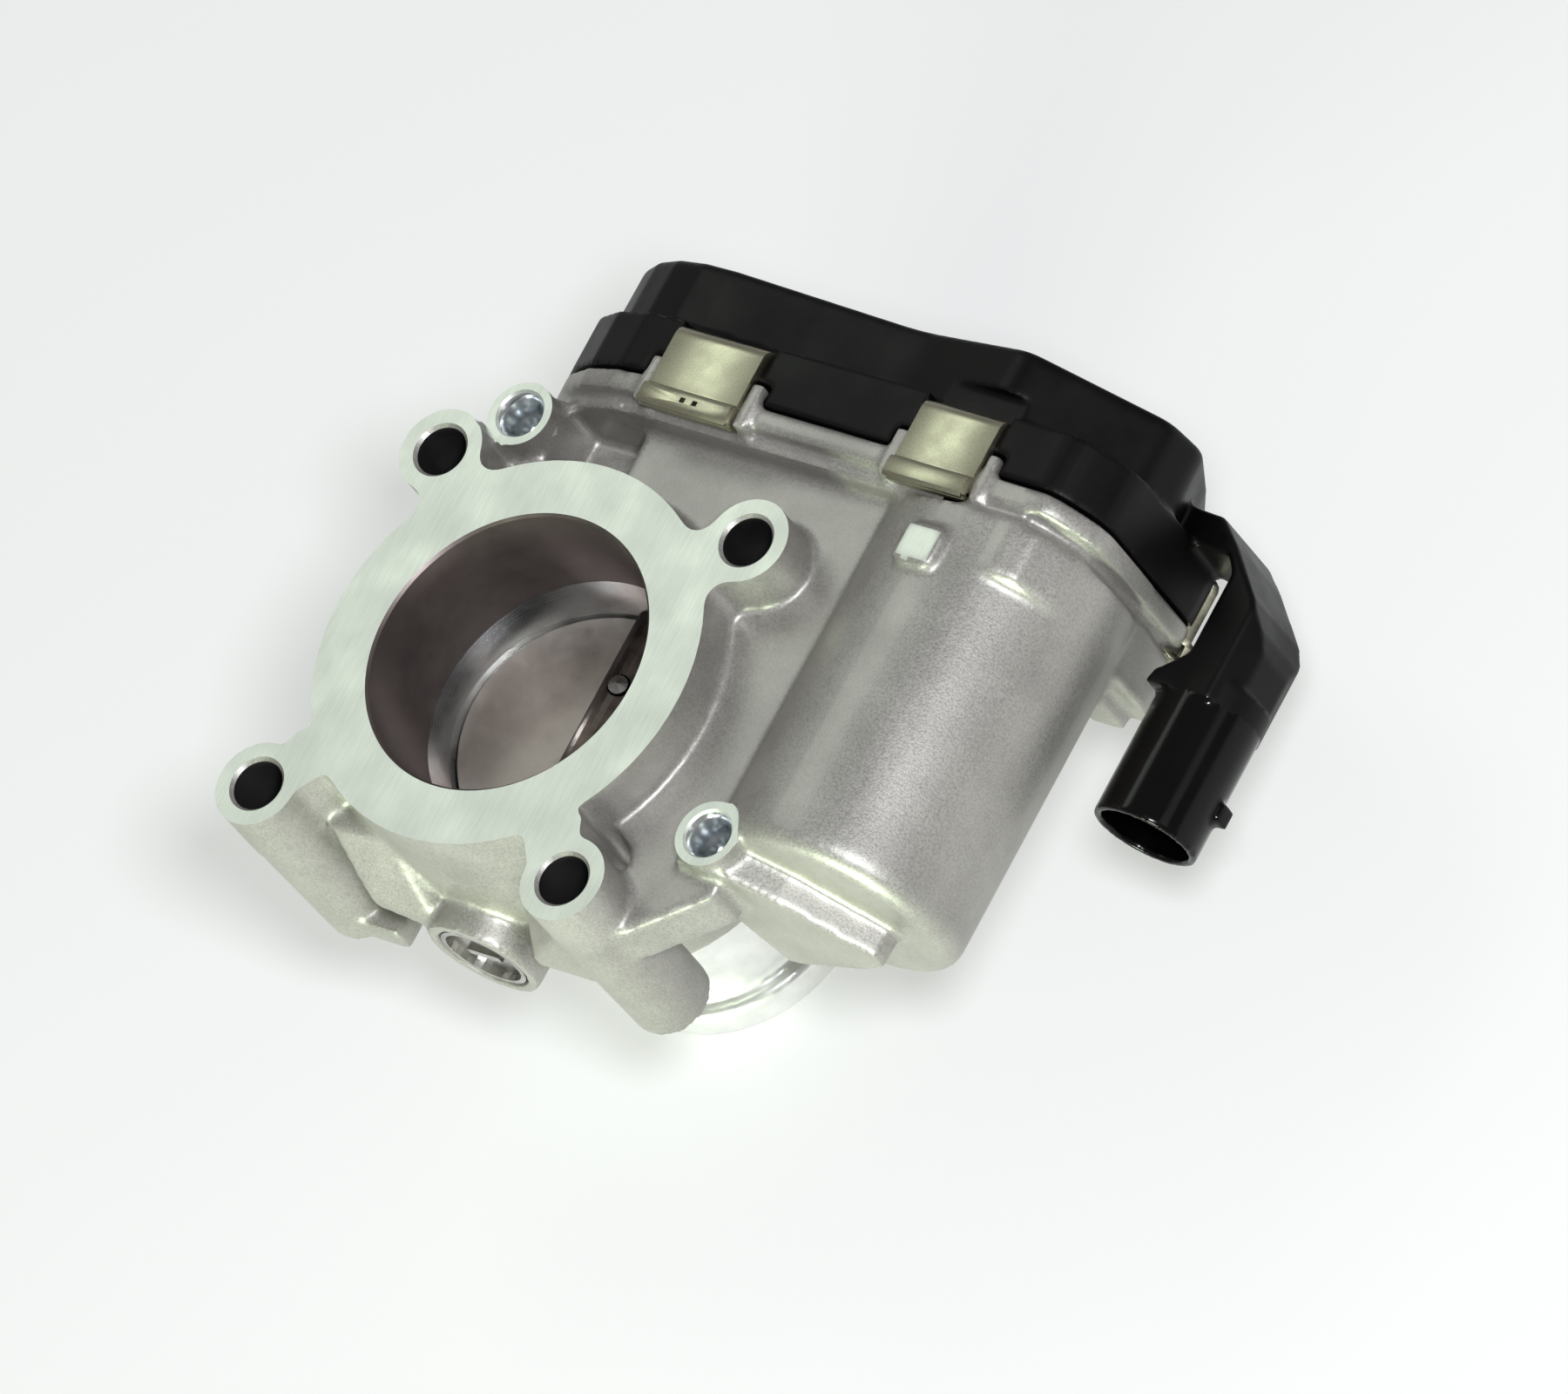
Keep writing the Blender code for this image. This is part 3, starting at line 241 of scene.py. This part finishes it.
def lathe(name, levels, place, axis="Z", steps=96):
    """A closed turned piece: a disc extruded and resized through levels of (along, radius) in mm."""
    deselect()
    bpy.ops.mesh.primitive_circle_add(vertices=steps, radius=levels[0][1] * MM, fill_type="NGON",
                                      location=(0.0, 0.0, levels[0][0] * MM))
    item = named(name)
    fix_place(item)
    bpy.ops.object.mode_set(mode="EDIT")
    bpy.ops.mesh.select_all(action="SELECT")
    for (start, first), (end, second) in zip(levels, levels[1:]):
        bpy.ops.mesh.extrude_region_move(TRANSFORM_OT_translate={"value": (0.0, 0.0, (end - start) * MM)})
        factor = second / first
        bpy.ops.transform.resize(value=(factor, factor, 1.0), center_override=(0.0, 0.0, end * MM))
    bpy.ops.mesh.select_all(action="SELECT")
    bpy.ops.mesh.normals_make_consistent(inside=False)
    bpy.ops.object.mode_set(mode="OBJECT")
    if axis == "Y":
        item.rotation_euler = (math.radians(-90.0), 0.0, 0.0)
        item.location = (place[0] * MM, 0.0, place[1] * MM)
    else:
        item.location = (place[0] * MM, place[1] * MM, 0.0)
    return fix_place(item)


def slab(name, low, high):
    """A box between two corners in mm, as a cutter or a block of stock."""
    deselect()
    middle = [(a + b) / 2.0 * MM for a, b in zip(low, high)]
    bpy.ops.mesh.primitive_cube_add(size=1.0, location=middle)
    item = named(name)
    item.scale = [(b - a) * MM for a, b in zip(low, high)]
    return fix_place(item)


def join(item, *others):
    """Joins closed pieces into one mesh."""
    pick(item, *others)
    bpy.ops.object.join()
    return item


def cut(item, cutter, solver="MANIFOLD"):
    """Cuts a piece with a cutter, which is then thrown away."""
    apply_modifier(item, "BOOLEAN", operation="DIFFERENCE", object=cutter, solver=solver)
    bpy.data.objects.remove(cutter, do_unlink=True)


def settle(item, voxel, rounds, triangles):
    """Blends joined solids into one skin with soft inner and outer corners, and thins it to its triangles."""
    apply_modifier(item, "REMESH", mode="VOXEL", voxel_size=voxel * MM, use_smooth_shade=True)
    apply_modifier(item, "SMOOTH", factor=0.5, iterations=rounds)
    count = sum(len(face.vertices) - 2 for face in item.data.polygons)
    if count > triangles:
        apply_modifier(item, "DECIMATE", decimate_type="COLLAPSE", ratio=triangles / count)


def soften(item, degrees=32.0):
    """Smooth shading that keeps edges sharper than the angle."""
    pick(item)
    bpy.ops.object.shade_smooth_by_angle(angle=math.radians(degrees))


def give_faces(item, slots, test):
    """Puts materials on a piece and sends each face to the slot that the test names."""
    item.data.materials.clear()
    for made in slots:
        item.data.materials.append(made)
    for face in item.data.polygons:
        face.material_index = test(face.center / MM, face.normal)


def show_as(item, body, slot, *nodes):
    """The piece rides on a body and stands for CAD nodes, which are hidden; the slot is not used."""
    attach(item, body)
    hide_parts(*nodes)


# ---------------------------------------------------------------- settings

class FinishSettings(PropertyGroup):
    """Colours and grain of the finishes."""

    cast: FloatVectorProperty(name="Cast aluminium", description="Colour of the blasted casting", size=4,
                              subtype="COLOR", default=linear("ADAAA5"))
    milled: FloatVectorProperty(name="Milled face", description="Colour of the milled flange face", size=4,
                                subtype="COLOR", default=linear("DADFD6"))
    grit: FloatProperty(name="Blasting grit", description="Grain of the blasted casting, coarse enough to show",
                        default=0.35 * MM, unit="LENGTH", precision=5)


class BodySettings(PropertyGroup):
    """Sizes of the cast and moulded skins."""

    cast_voxel: FloatProperty(name="Casting detail", default=0.62,
                              description="Smallest step of the cast skin in mm")
    cast_rounds: IntProperty(name="Casting corners", default=4,
                             description="How far the cast corners are rounded")
    cover_voxel: FloatProperty(name="Cover detail", default=0.42,
                               description="Smallest step of the moulded skin in mm")
    cover_rounds: IntProperty(name="Cover corners", default=5,
                              description="How far the moulded corners are rounded")
    clip_thickness: FloatProperty(name="Clip thickness", description="Thickness of the spring strip",
                                  default=0.6 * MM, unit="LENGTH", precision=5)


class StageSettings(PropertyGroup):
    """Light and camera."""

    key: FloatProperty(name="Key light", description="Power of the main light", default=15.0, unit="POWER")
    fill: FloatProperty(name="Fill light", description="Power of the weak light", default=1.3, unit="POWER")
    room: FloatProperty(name="Room light", description="Strength of the light all round", default=0.30)
    front: FloatProperty(name="Front light", description="Power of the small light beside the camera", default=9.0,
                         unit="POWER")
    glow: FloatProperty(name="Board glow", description="Light given off by the pale board", default=0.42)
    lens: FloatProperty(name="Lens", description="Focal length", default=484.6, unit="CAMERA")


# ---------------------------------------------------------------- finishes

def cast_aluminium(settings):
    """Shot-blasted die-cast aluminium: satin, with an even grit that sparkles and slightly darker patches."""
    made, tree, shader, place = new_material("die_cast_aluminium_blasted")
    grit = soft_noise(tree, place, settings.grit, 3.0, Roughness=0.6)
    patch = soft_noise(tree, place, 14.0 * MM, 4.0, Roughness=0.6)
    tone = add(tree, "ShaderNodeValToRGB", links={"Fac": (patch, "Fac")})
    low = [c * 0.80 for c in settings.cast[:3]] + [1.0]
    ramp_stops(tone, (0.35, low), (0.65, tuple(settings.cast)))
    speck = add(tree, "ShaderNodeValToRGB", links={"Fac": (grit, "Fac")})
    ramp_stops(speck, (0.30, (0.72, 0.72, 0.72, 1.0)), (0.62, (1.0, 1.0, 1.0, 1.0)))
    colour = add(tree, "ShaderNodeMix", {"Factor": 1.0}, data_type="RGBA", blend_type="MULTIPLY")
    tree.links.new(tone.outputs["Color"], colour.inputs["A"])
    tree.links.new(speck.outputs["Color"], colour.inputs["B"])
    dull = between(tree, grit, 0.36, 0.52)
    surface(tree, shader, colour.outputs["Result"], dull, grit, 0.55, 0.06, 0.6)
    return made


def milled_aluminium(settings):
    """Face-milled aluminium: a bright flat face with fine slanting cutter lines."""
    made, tree, shader, place = new_material("aluminium_face_milled")
    turn = add(tree, "ShaderNodeMapping", {"Rotation": (0.0, 0.0, math.radians(38.0))},
               {"Vector": (place, "Object")})
    lines = add(tree, "ShaderNodeTexWave", {"Scale": 1.0 / (0.9 * MM) / 6.28 * 2.0, "Distortion": 2.5,
                "Detail": 2.0, "Detail Scale": 1.5}, {"Vector": (turn, "Vector")}, wave_type="BANDS",
                bands_direction="X")
    streak_map = add(tree, "ShaderNodeMapping", {"Rotation": (0.0, 0.0, math.radians(38.0)),
                     "Scale": (1.0, 0.05, 1.0)}, {"Vector": (place, "Object")})
    streak = add(tree, "ShaderNodeTexNoise", {"Scale": 1.0 / (0.32 * MM), "Detail": 3.0},
                 {"Vector": (streak_map, "Vector")})
    cloud = soft_noise(tree, place, 9.0 * MM, 3.0)
    tone = add(tree, "ShaderNodeValToRGB", links={"Fac": (streak, "Fac")})
    low = [c * 0.93 for c in settings.milled[:3]] + [1.0]
    ramp_stops(tone, (0.38, low), (0.60, tuple(settings.milled)))
    dull = between(tree, cloud, 0.42, 0.55)
    surface(tree, shader, tone.outputs["Color"], dull, lines, 0.25, 0.012, 0.8)
    return made


def turned_metal(name, colour, dark, pitch, roughness, metallic=1.0, along="Z", rings="BANDS"):
    """Turned or bored metal: rings left by the tool at one pitch along an axis, under a soft stain."""
    made, tree, shader, place = new_material(name)
    lines = add(tree, "ShaderNodeTexWave", {"Scale": 1.0 / pitch / 6.28 * 2.0, "Distortion": 0.6, "Detail": 2.0},
                {"Vector": (place, "Object")}, wave_type=rings, bands_direction=along, rings_direction=along)
    stain = soft_noise(tree, place, 6.0 * MM, 5.0, Roughness=0.65)
    tone = add(tree, "ShaderNodeValToRGB", links={"Fac": (stain, "Fac")})
    ramp_stops(tone, (0.35, linear(dark)), (0.65, linear(colour)))
    dull = between(tree, stain, roughness * 0.8, roughness * 1.2)
    surface(tree, shader, tone.outputs["Color"], dull, lines, 0.3, 0.01, metallic)
    return made


def moulded(name, colour, dark, grain, roughness, depth=0.02, shine=0.5):
    """Moulded plastic or rubber: a fine spark-eroded grain with slightly uneven gloss."""
    made, tree, shader, place = new_material(name)
    skin = soft_noise(tree, place, grain, 2.0)
    smear = soft_noise(tree, place, 11.0 * MM, 4.0, Roughness=0.6)
    tone = add(tree, "ShaderNodeValToRGB", links={"Fac": (smear, "Fac")})
    ramp_stops(tone, (0.35, linear(dark)), (0.65, linear(colour)))
    dull = between(tree, smear, roughness * 0.82, roughness * 1.15)
    shader.inputs["IOR"].default_value = 1.5
    shader.inputs["Specular IOR Level"].default_value = shine
    surface(tree, shader, tone.outputs["Color"], dull, skin, 0.4, depth)
    return made


def brushed_metal(name, colour, dark, roughness, scale=(1.0, 1.0, 0.06), grain=0.25):
    """Rolled or brushed metal: fine lines along one way, from stretched noise, with small stains."""
    made, tree, shader, place = new_material(name)
    stretch = add(tree, "ShaderNodeMapping", {"Scale": scale}, {"Vector": (place, "Object")})
    lines = add(tree, "ShaderNodeTexNoise", {"Scale": 1.0 / (grain * MM), "Detail": 3.0, "Roughness": 0.6},
                {"Vector": (stretch, "Vector")})
    stain = soft_noise(tree, place, 5.0 * MM, 4.0)
    tone = add(tree, "ShaderNodeValToRGB", links={"Fac": (lines, "Fac")})
    ramp_stops(tone, (0.3, linear(dark)), (0.7, linear(colour)))
    dull = between(tree, stain, roughness * 0.8, roughness * 1.2)
    surface(tree, shader, tone.outputs["Color"], dull, lines, 0.2, 0.01, 1.0)
    return made


# ---------------------------------------------------------------- operators

class FinishInnerParts(Operator):
    """Gives every carried-over solid the finish of its real material; the shaft gets a darker copy with painted
    shade.
    """

    bl_idname = "throttle_body.finish_inner_parts"
    bl_label = "Finish Inner Parts"

    def execute(self, context):
        settings = context.scene.throttle_finish
        finishes = {
            "cast_aluminium": cast_aluminium(settings),
            # glass-filled nylon, moulded: near black with a dull grain
            "black_polymer": moulded("glass_filled_nylon_black", "080607", "040303", 0.3 * MM, 0.44, shine=0.15),
            # nickel-plated spring steel: warm silver with faint rolling lines
            "spring_clip_steel": brushed_metal("spring_steel_nickel_plated", "B5B29C", "9C9A86", 0.34),
            # tinned brass pins: soft pale gold
            "tinned_brass": brushed_metal("brass_tinned", "D8CDA8", "B9A87C", 0.3),
            # sintered bronze: porous and oily brown
            "sintered_bronze": moulded("bronze_sintered", "A07C48", "6E5330", 0.2 * MM, 0.5, 0.04),
            # unfilled nylon gears: creamy and slightly glossy
            "gear_nylon": moulded("nylon_gear_natural", "D9D3BE", "C8C0A6", 0.5 * MM, 0.4),
            # moulded nitrile rubber: black and dull
            "black_rubber": moulded("nitrile_rubber_black", "161616", "0E0E0E", 0.3 * MM, 0.65),
            # circuit board under its green solder mask
            "circuit_board": moulded("board_green_solder_mask", "1E6B3C", "14502B", 0.8 * MM, 0.3),
            # pressed ferrite and carbon: charcoal grey and dull
            "dark_ferrite": moulded("ferrite_pressed", "3A3A3D", "29292B", 0.25 * MM, 0.55),
            # drawn copper wire under enamel
            "copper": brushed_metal("copper_enamelled", "C67A48", "8E4E2A", 0.35, (1.0, 0.1, 1.0), 0.4),
            # plate with faint turned rings, warm satin grey
            "rolled_plate": turned_metal("plate_turned_satin", "C9C1B8", "BBB2A9", 0.45 * MM, 0.33, 0.95,
                                         rings="RINGS"),
            # turned and ground steel: bright with fine rings
            "bright_steel": turned_metal("steel_turned_bright", "BDBBB6", "8F8D89", 0.3 * MM, 0.28, along="Y"),
        }
        for row in frame["record"]["subparts"]:
            node = frame["nodes"][row["node"]]
            node.data.materials.clear()
            node.data.materials.append(finishes[row["material_slot"]])
        # the shaft deep in the bore gets a darker copy of the turned steel as painted shade
        shaft = turned_metal("steel_shaft_painted_shade", "6B625C", "3B3431", 0.3 * MM, 0.38, along="Y")
        frame["nodes"]["throttle_shaft"].data.materials[0] = shaft
        return {"FINISHED"}


class MakeCastHousing(Operator):
    """Casts the housing skin with soft corners, then mills its face and bores its holes."""

    bl_idname = "throttle_body.make_cast_housing"
    bl_label = "Make Cast Housing"

    def execute(self, context):
        sizes = context.scene.throttle_sizes
        finish = context.scene.throttle_finish
        body = cad_copy("throttle_housing", "cast_housing")
        # the deck falls away to the round hub of the shaft beside the first clip
        cut(body, slab("pocket", (-17.2, 31.6, -17.0), (-3.2, 41.05, -5.0)))
        join(body, lathe("hub", [(16.0, HUB_RADIUS), (41.4, HUB_RADIUS)], (0.0, SHAFT_LINE_Z), "Y"))
        # stock over the milled faces, cut off again after casting
        for level in (0.0, SCREW_FACE_Z):
            choose_faces(body, lambda c, n: n.z > 0.95 and abs(c.z - level) < 0.05)
            bpy.ops.mesh.extrude_region_move(TRANSFORM_OT_translate={"value": (0.0, 0.0, 1.5 * MM)})
            bpy.ops.object.mode_set(mode="OBJECT")
        bore_core = [(-76.9, 17.2), (-54.0, 17.2), (-46.0, 19.8), (-38.5, 22.4), (1.5, 22.6)]
        cores = [lathe("bore_core", bore_core, (0.0, 0.0))]
        for place in BOLTS:
            cores.append(lathe("bolt_core", [(-35.9, 4.4), (1.4, 4.4)], place, steps=32))
        for place in SCREW_BOSSES:
            cores.append(lathe("screw_core", [(-14.0, 3.6), (-2.6, 3.6)], place, steps=32))
        join(body, *cores)
        settle(body, sizes.cast_voxel, sizes.cast_rounds, CASTING_TRIANGLES)
        bore_tool = lathe("bore_tool", [(-85.0, 16.5), (-54.0, 16.5), (-46.0, 19.0), (-38.5, 21.0), (-20.6, 21.0),
                                        (-19.3, 22.0), (-0.4, 22.1), (2.0, 24.5)], (0.0, 0.0), steps=160)
        bolt_tool = [(-40.0, BOLT_HOLE_RADIUS), (-0.5, BOLT_HOLE_RADIUS), (2.5, 6.9)]
        screw_tool = [(-13.0, 0.4), (-11.2, 2.5), (-5.2, 2.9), (-4.4, 3.6), (-2.2, 5.4)]
        for place in BOLTS:
            cut(body, lathe("bolt_tool", bolt_tool, place, steps=64))
        for place in SCREW_BOSSES:
            cut(body, lathe("screw_tool", screw_tool, place, steps=64))
        cut(body, bore_tool)
        cut(body, slab("mill", (-50.0, -50.0, 0.0), (45.0, 41.0, 6.0)))
        for place in SCREW_BOSSES:
            cut(body, lathe("spot_face", [(SCREW_FACE_Z, 5.5), (2.0, 5.5)], place, steps=64))
        cut(body, lathe("shaft_bore", [(-24.0, 4.3), (16.0, 4.3)], (0.0, SHAFT_LINE_Z), "Y", steps=64))
        soften(body, 38.0)

        cast = bpy.data.materials["die_cast_aluminium_blasted"]
        milled = milled_aluminium(finish)
        # the intake wall stays as cast from its core; its dark brown-grey colour is painted shade inside the bore
        bore_shade = turned_metal("aluminium_bore_painted_shade", "6C6361", "635A58", 0.5 * MM, 0.40, 0.8)
        # the seat of the plate is bored and polished
        polished = turned_metal("aluminium_bored_polished", "E6EAEC", "C9CDD0", 0.35 * MM, 0.2)
        # the bolt holes are left from cores and rough inside; their near-black colour is painted shade
        hole_shade = moulded("aluminium_hole_painted_shade", "1C1B1B", "0D0D0D", 0.3 * MM, 0.6)
        # the hose collar is turned to a clean bright finish
        collar = turned_metal("aluminium_collar_turned", "F2F2F0", "E6E7E4", 0.4 * MM, 0.35)

        def which(c, n):
            """The slot of a face of the casting, by its centre in mm and its normal."""
            radius = math.hypot(c.x, c.y)
            inward = radius > 0.01 and (n.x * c.x + n.y * c.y) / radius < -0.25
            if n.z > 0.97 and c.z > -0.05:
                return 1
            if radius < 22.9 and inward:
                # the bore wall above the seat takes the dark painted shade, the seat below it the polished finish
                return 2 if c.z > SEAT_TOP_Z else 3
            # bolt hole walls take the near-black painted shade
            for x, y in BOLTS:
                if math.hypot(c.x - x, c.y - y) < BOLT_HOLE_RADIUS + 0.05 and c.z < -2.2:
                    return 4
            if n.z > 0.97 and abs(c.z - SCREW_FACE_Z) < 0.06:
                return 1
            for x, y in SCREW_BOSSES:
                reach = math.hypot(c.x - x, c.y - y)
                if reach < 4.6 and c.z < -3.9:
                    return 3 if reach < 3.4 else 1
            if radius < 22.3 and c.z < -52.0:
                return 5
            return 0

        give_faces(body, [cast, milled, bore_shade, polished, hole_shade, collar], which)
        show_as(body, "root", "cast_aluminium", "throttle_housing")
        return {"FINISHED"}


class MakeMouldedCover(Operator):
    """Moulds the gear cover with soft corners and its connector shroud."""

    bl_idname = "throttle_body.make_moulded_cover"
    bl_label = "Make Moulded Cover"

    def execute(self, context):
        sizes = context.scene.throttle_sizes
        cover = cad_copy("gear_cover", "moulded_cover")
        settle(cover, sizes.cover_voxel, sizes.cover_rounds, COVER_TRIANGLES)
        soften(cover, 40.0)
        dull = bpy.data.materials["glass_filled_nylon_black"]
        # the shroud comes from a polished part of the mould
        gloss = moulded("glass_filled_nylon_gloss", "050404", "030202", 0.6 * MM, 0.16, 0.005, 0.2)
        px, pz = PLUG_LINE

        def which(c, n):
            """The slot of a face of the cover: 1 on the shroud."""
            return 1 if math.hypot(c.x - px, c.z - pz) < SHROUD_RADIUS and c.y < SHROUD_END_Y else 0

        give_faces(cover, [dull, gloss], which)
        show_as(cover, "root", "black_polymer", "gear_cover")
        return {"FINISHED"}


class MakeSpringClips(Operator):
    """Bends the five spring clips from flat strip."""

    bl_idname = "throttle_body.make_spring_clips"
    bl_label = "Make Spring Clips"

    def execute(self, context):
        thick = context.scene.throttle_sizes.clip_thickness
        nickel = bpy.data.materials["spring_steel_nickel_plated"]
        for number, (node, x, z, angle, width) in enumerate(CLIPS, start=1):
            deselect()
            bpy.ops.mesh.primitive_plane_add(size=1.0)
            clip = named(f"spring_clip_{number}")
            bpy.ops.object.mode_set(mode="EDIT")
            bpy.ops.mesh.select_mode(type="EDGE")
            mesh = bmesh.from_edit_mesh(clip.data)
            half = width / 2.0 * MM
            (x0, y0), (x1, y1) = CLIP_BEND[:2]
            for vertex in mesh.verts:
                side = half if vertex.co.y > 0.0 else -half
                first = vertex.co.x < 0.0
                vertex.co = (x0 * MM, y0 * MM, side) if first else (x1 * MM, y1 * MM, side)
            for edge in mesh.edges:
                edge.select_set(all(abs(v.co.x - x1 * MM) < 1e-7 for v in edge.verts))
            bmesh.update_edit_mesh(clip.data)
            for (xa, ya), (xb, yb) in zip(CLIP_BEND[1:], CLIP_BEND[2:]):
                step = ((xb - xa) * MM, (yb - ya) * MM, 0.0)
                bpy.ops.mesh.extrude_region_move(TRANSFORM_OT_translate={"value": step})
            bpy.ops.object.mode_set(mode="OBJECT")
            apply_modifier(clip, "SOLIDIFY", thickness=thick, offset=0.0, use_even_offset=True)
            if number in (1, 4):
                for place in (-1.9, 0.3):
                    hole = slab("pilot", (0.9, 43.2, place - 0.45), (2.6, 44.0, place + 0.45))
                    cut(clip, hole, "EXACT")
            apply_modifier(clip, "BEVEL", width=0.16 * MM, segments=2, limit_method="ANGLE",
                           angle_limit=math.radians(40.0))
            clip.rotation_euler = (0.0, -math.radians(angle), 0.0)
            clip.location = (x * MM, 0.0, z * MM)
            fix_place(clip)
            pick(clip)
            bpy.ops.object.mode_set(mode="EDIT")
            bpy.ops.mesh.select_all(action="SELECT")
            bpy.ops.mesh.normals_make_consistent(inside=False)
            bpy.ops.object.mode_set(mode="OBJECT")
            soften(clip, 35.0)
            clip.data.materials.clear()
            clip.data.materials.append(nickel)
            show_as(clip, "root", "spring_clip_steel", node)
        return {"FINISHED"}


class MakePlate(Operator):
    """Turns the butterfly plate with a small edge round and tilts it to its rest."""

    bl_idname = "throttle_body.make_plate"
    bl_label = "Make Butterfly Plate"

    def execute(self, context):
        edge = [(-0.9, 20.4), (-0.7, PLATE_RADIUS), (0.7, PLATE_RADIUS), (0.9, 20.4)]
        plate = lathe("butterfly_plate", edge, (0.0, 0.0), steps=160)
        for place in ((0.0, -9.0), (0.0, 9.0)):
            cut(plate, lathe("screw_hole", [(-3.0, 1.8), (3.0, 1.8)], place, steps=24))
        plate.rotation_euler = (0.0, PLATE_TILT, 0.0)
        plate.location = (0.0, 0.0, SHAFT_LINE_Z * MM)
        fix_place(plate)
        soften(plate, 30.0)
        plate.data.materials.clear()
        plate.data.materials.append(bpy.data.materials["plate_turned_satin"])
        show_as(plate, "throttle", "rolled_plate", "throttle_plate")
        return {"FINISHED"}


class SetStage(Operator):
    """Pale floor, soft light and the camera."""

    bl_idname = "throttle_body.set_stage"
    bl_label = "Set Stage"

    def execute(self, context):
        stage = context.scene.throttle_stage
        scene = context.scene
        scene.view_settings.view_transform = "Standard"
        deselect()
        bpy.ops.mesh.primitive_plane_add(size=6.0, location=(0.0, 0.0, CAD_BOX[0].z - 0.0002))
        floor = named("floor")
        fix_place(floor)
        # smooth studio board, pale grey and even
        made, tree, shader, place = new_material("studio_board_pale")
        mottle = add(tree, "ShaderNodeTexNoise", {"Scale": 3.0, "Detail": 2.0}, {"Vector": (place, "Object")})
        tone = add(tree, "ShaderNodeValToRGB", links={"Fac": (mottle, "Fac")})
        ramp_stops(tone, (0.3, linear("B2B2B2")), (0.7, linear("B4B4B4")))
        tree.links.new(tone.outputs["Color"], shader.inputs["Base Color"])
        shader.inputs["Emission Color"].default_value = (1.0, 1.0, 1.0, 1.0)
        shader.inputs["Emission Strength"].default_value = stage.glow
        shader.inputs["Roughness"].default_value = 0.9
        shader.inputs["Specular IOR Level"].default_value = 0.1
        floor.data.materials.append(made)

        world = bpy.data.worlds.new("soft_room")
        world.use_nodes = True
        ground = world.node_tree.nodes["Background"]
        ground.inputs["Color"].default_value = (1.0, 0.985, 0.98, 1.0)
        ground.inputs["Strength"].default_value = stage.room
        scene.world = world

        for name, place, size, setting, share, colour in LAMPS:
            lamp = bpy.data.lights.new(name, "AREA")
            lamp.shape = "DISK"
            lamp.size = size
            lamp.energy = getattr(stage, setting) * share
            lamp.color = colour
            item = bpy.data.objects.new(name, lamp)
            scene.collection.objects.link(item)
            item.location = LAMPS_AIM + Vector(place)
            item.rotation_euler = (-Vector(place)).to_track_quat("-Z", "Y").to_euler()

        camera = bpy.data.cameras.new("camera")
        camera.lens = stage.lens
        camera.sensor_width = 36.0
        camera.clip_start = 0.01
        camera.dof.use_dof = False
        item = bpy.data.objects.new("camera", camera)
        scene.collection.objects.link(item)
        up = (CAMERA_UP - CAMERA_RIGHT * CAMERA_UP.dot(CAMERA_RIGHT)).normalized()
        back = CAMERA_RIGHT.cross(up)
        turn = Matrix((CAMERA_RIGHT, up, back)).transposed().to_4x4()
        item.matrix_world = Matrix.Translation(CAMERA_AIM + back * CAMERA_DISTANCE) @ turn
        scene.camera = item
        return {"FINISHED"}


class ThrottleBodyPanel(Panel):
    """Lists the steps and settings in the sidebar."""

    bl_idname = "VIEW3D_PT_throttle_body"
    bl_label = "Throttle Body"
    bl_space_type = "VIEW_3D"
    bl_region_type = "UI"
    bl_category = "Throttle Body"

    def draw(self, context):
        layout = self.layout
        for step in STEPS:
            layout.operator(step.bl_idname)
        for group in (context.scene.throttle_finish, context.scene.throttle_sizes, context.scene.throttle_stage):
            for name in group.__annotations__:
                layout.prop(group, name)


STEPS = (FinishInnerParts, MakeCastHousing, MakeMouldedCover, MakeSpringClips, MakePlate, SetStage)
CLASSES = (FinishSettings, BodySettings, StageSettings, *STEPS, ThrottleBodyPanel)


def register():
    """Registers the classes and their settings."""
    for each in CLASSES:
        bpy.utils.register_class(each)
    bpy.types.Scene.throttle_finish = PointerProperty(type=FinishSettings)
    bpy.types.Scene.throttle_sizes = PointerProperty(type=BodySettings)
    bpy.types.Scene.throttle_stage = PointerProperty(type=StageSettings)


def unregister():
    """Removes the settings and classes."""
    del bpy.types.Scene.throttle_stage
    del bpy.types.Scene.throttle_sizes
    del bpy.types.Scene.throttle_finish
    for each in reversed(CLASSES):
        bpy.utils.unregister_class(each)


def main():
    """Makes every piece and the stage."""
    register()
    bpy.ops.throttle_body.finish_inner_parts()
    bpy.ops.throttle_body.make_cast_housing()
    bpy.ops.throttle_body.make_moulded_cover()
    bpy.ops.throttle_body.make_spring_clips()
    bpy.ops.throttle_body.make_plate()
    bpy.ops.throttle_body.set_stage()


if __name__ == "__main__":
    main()
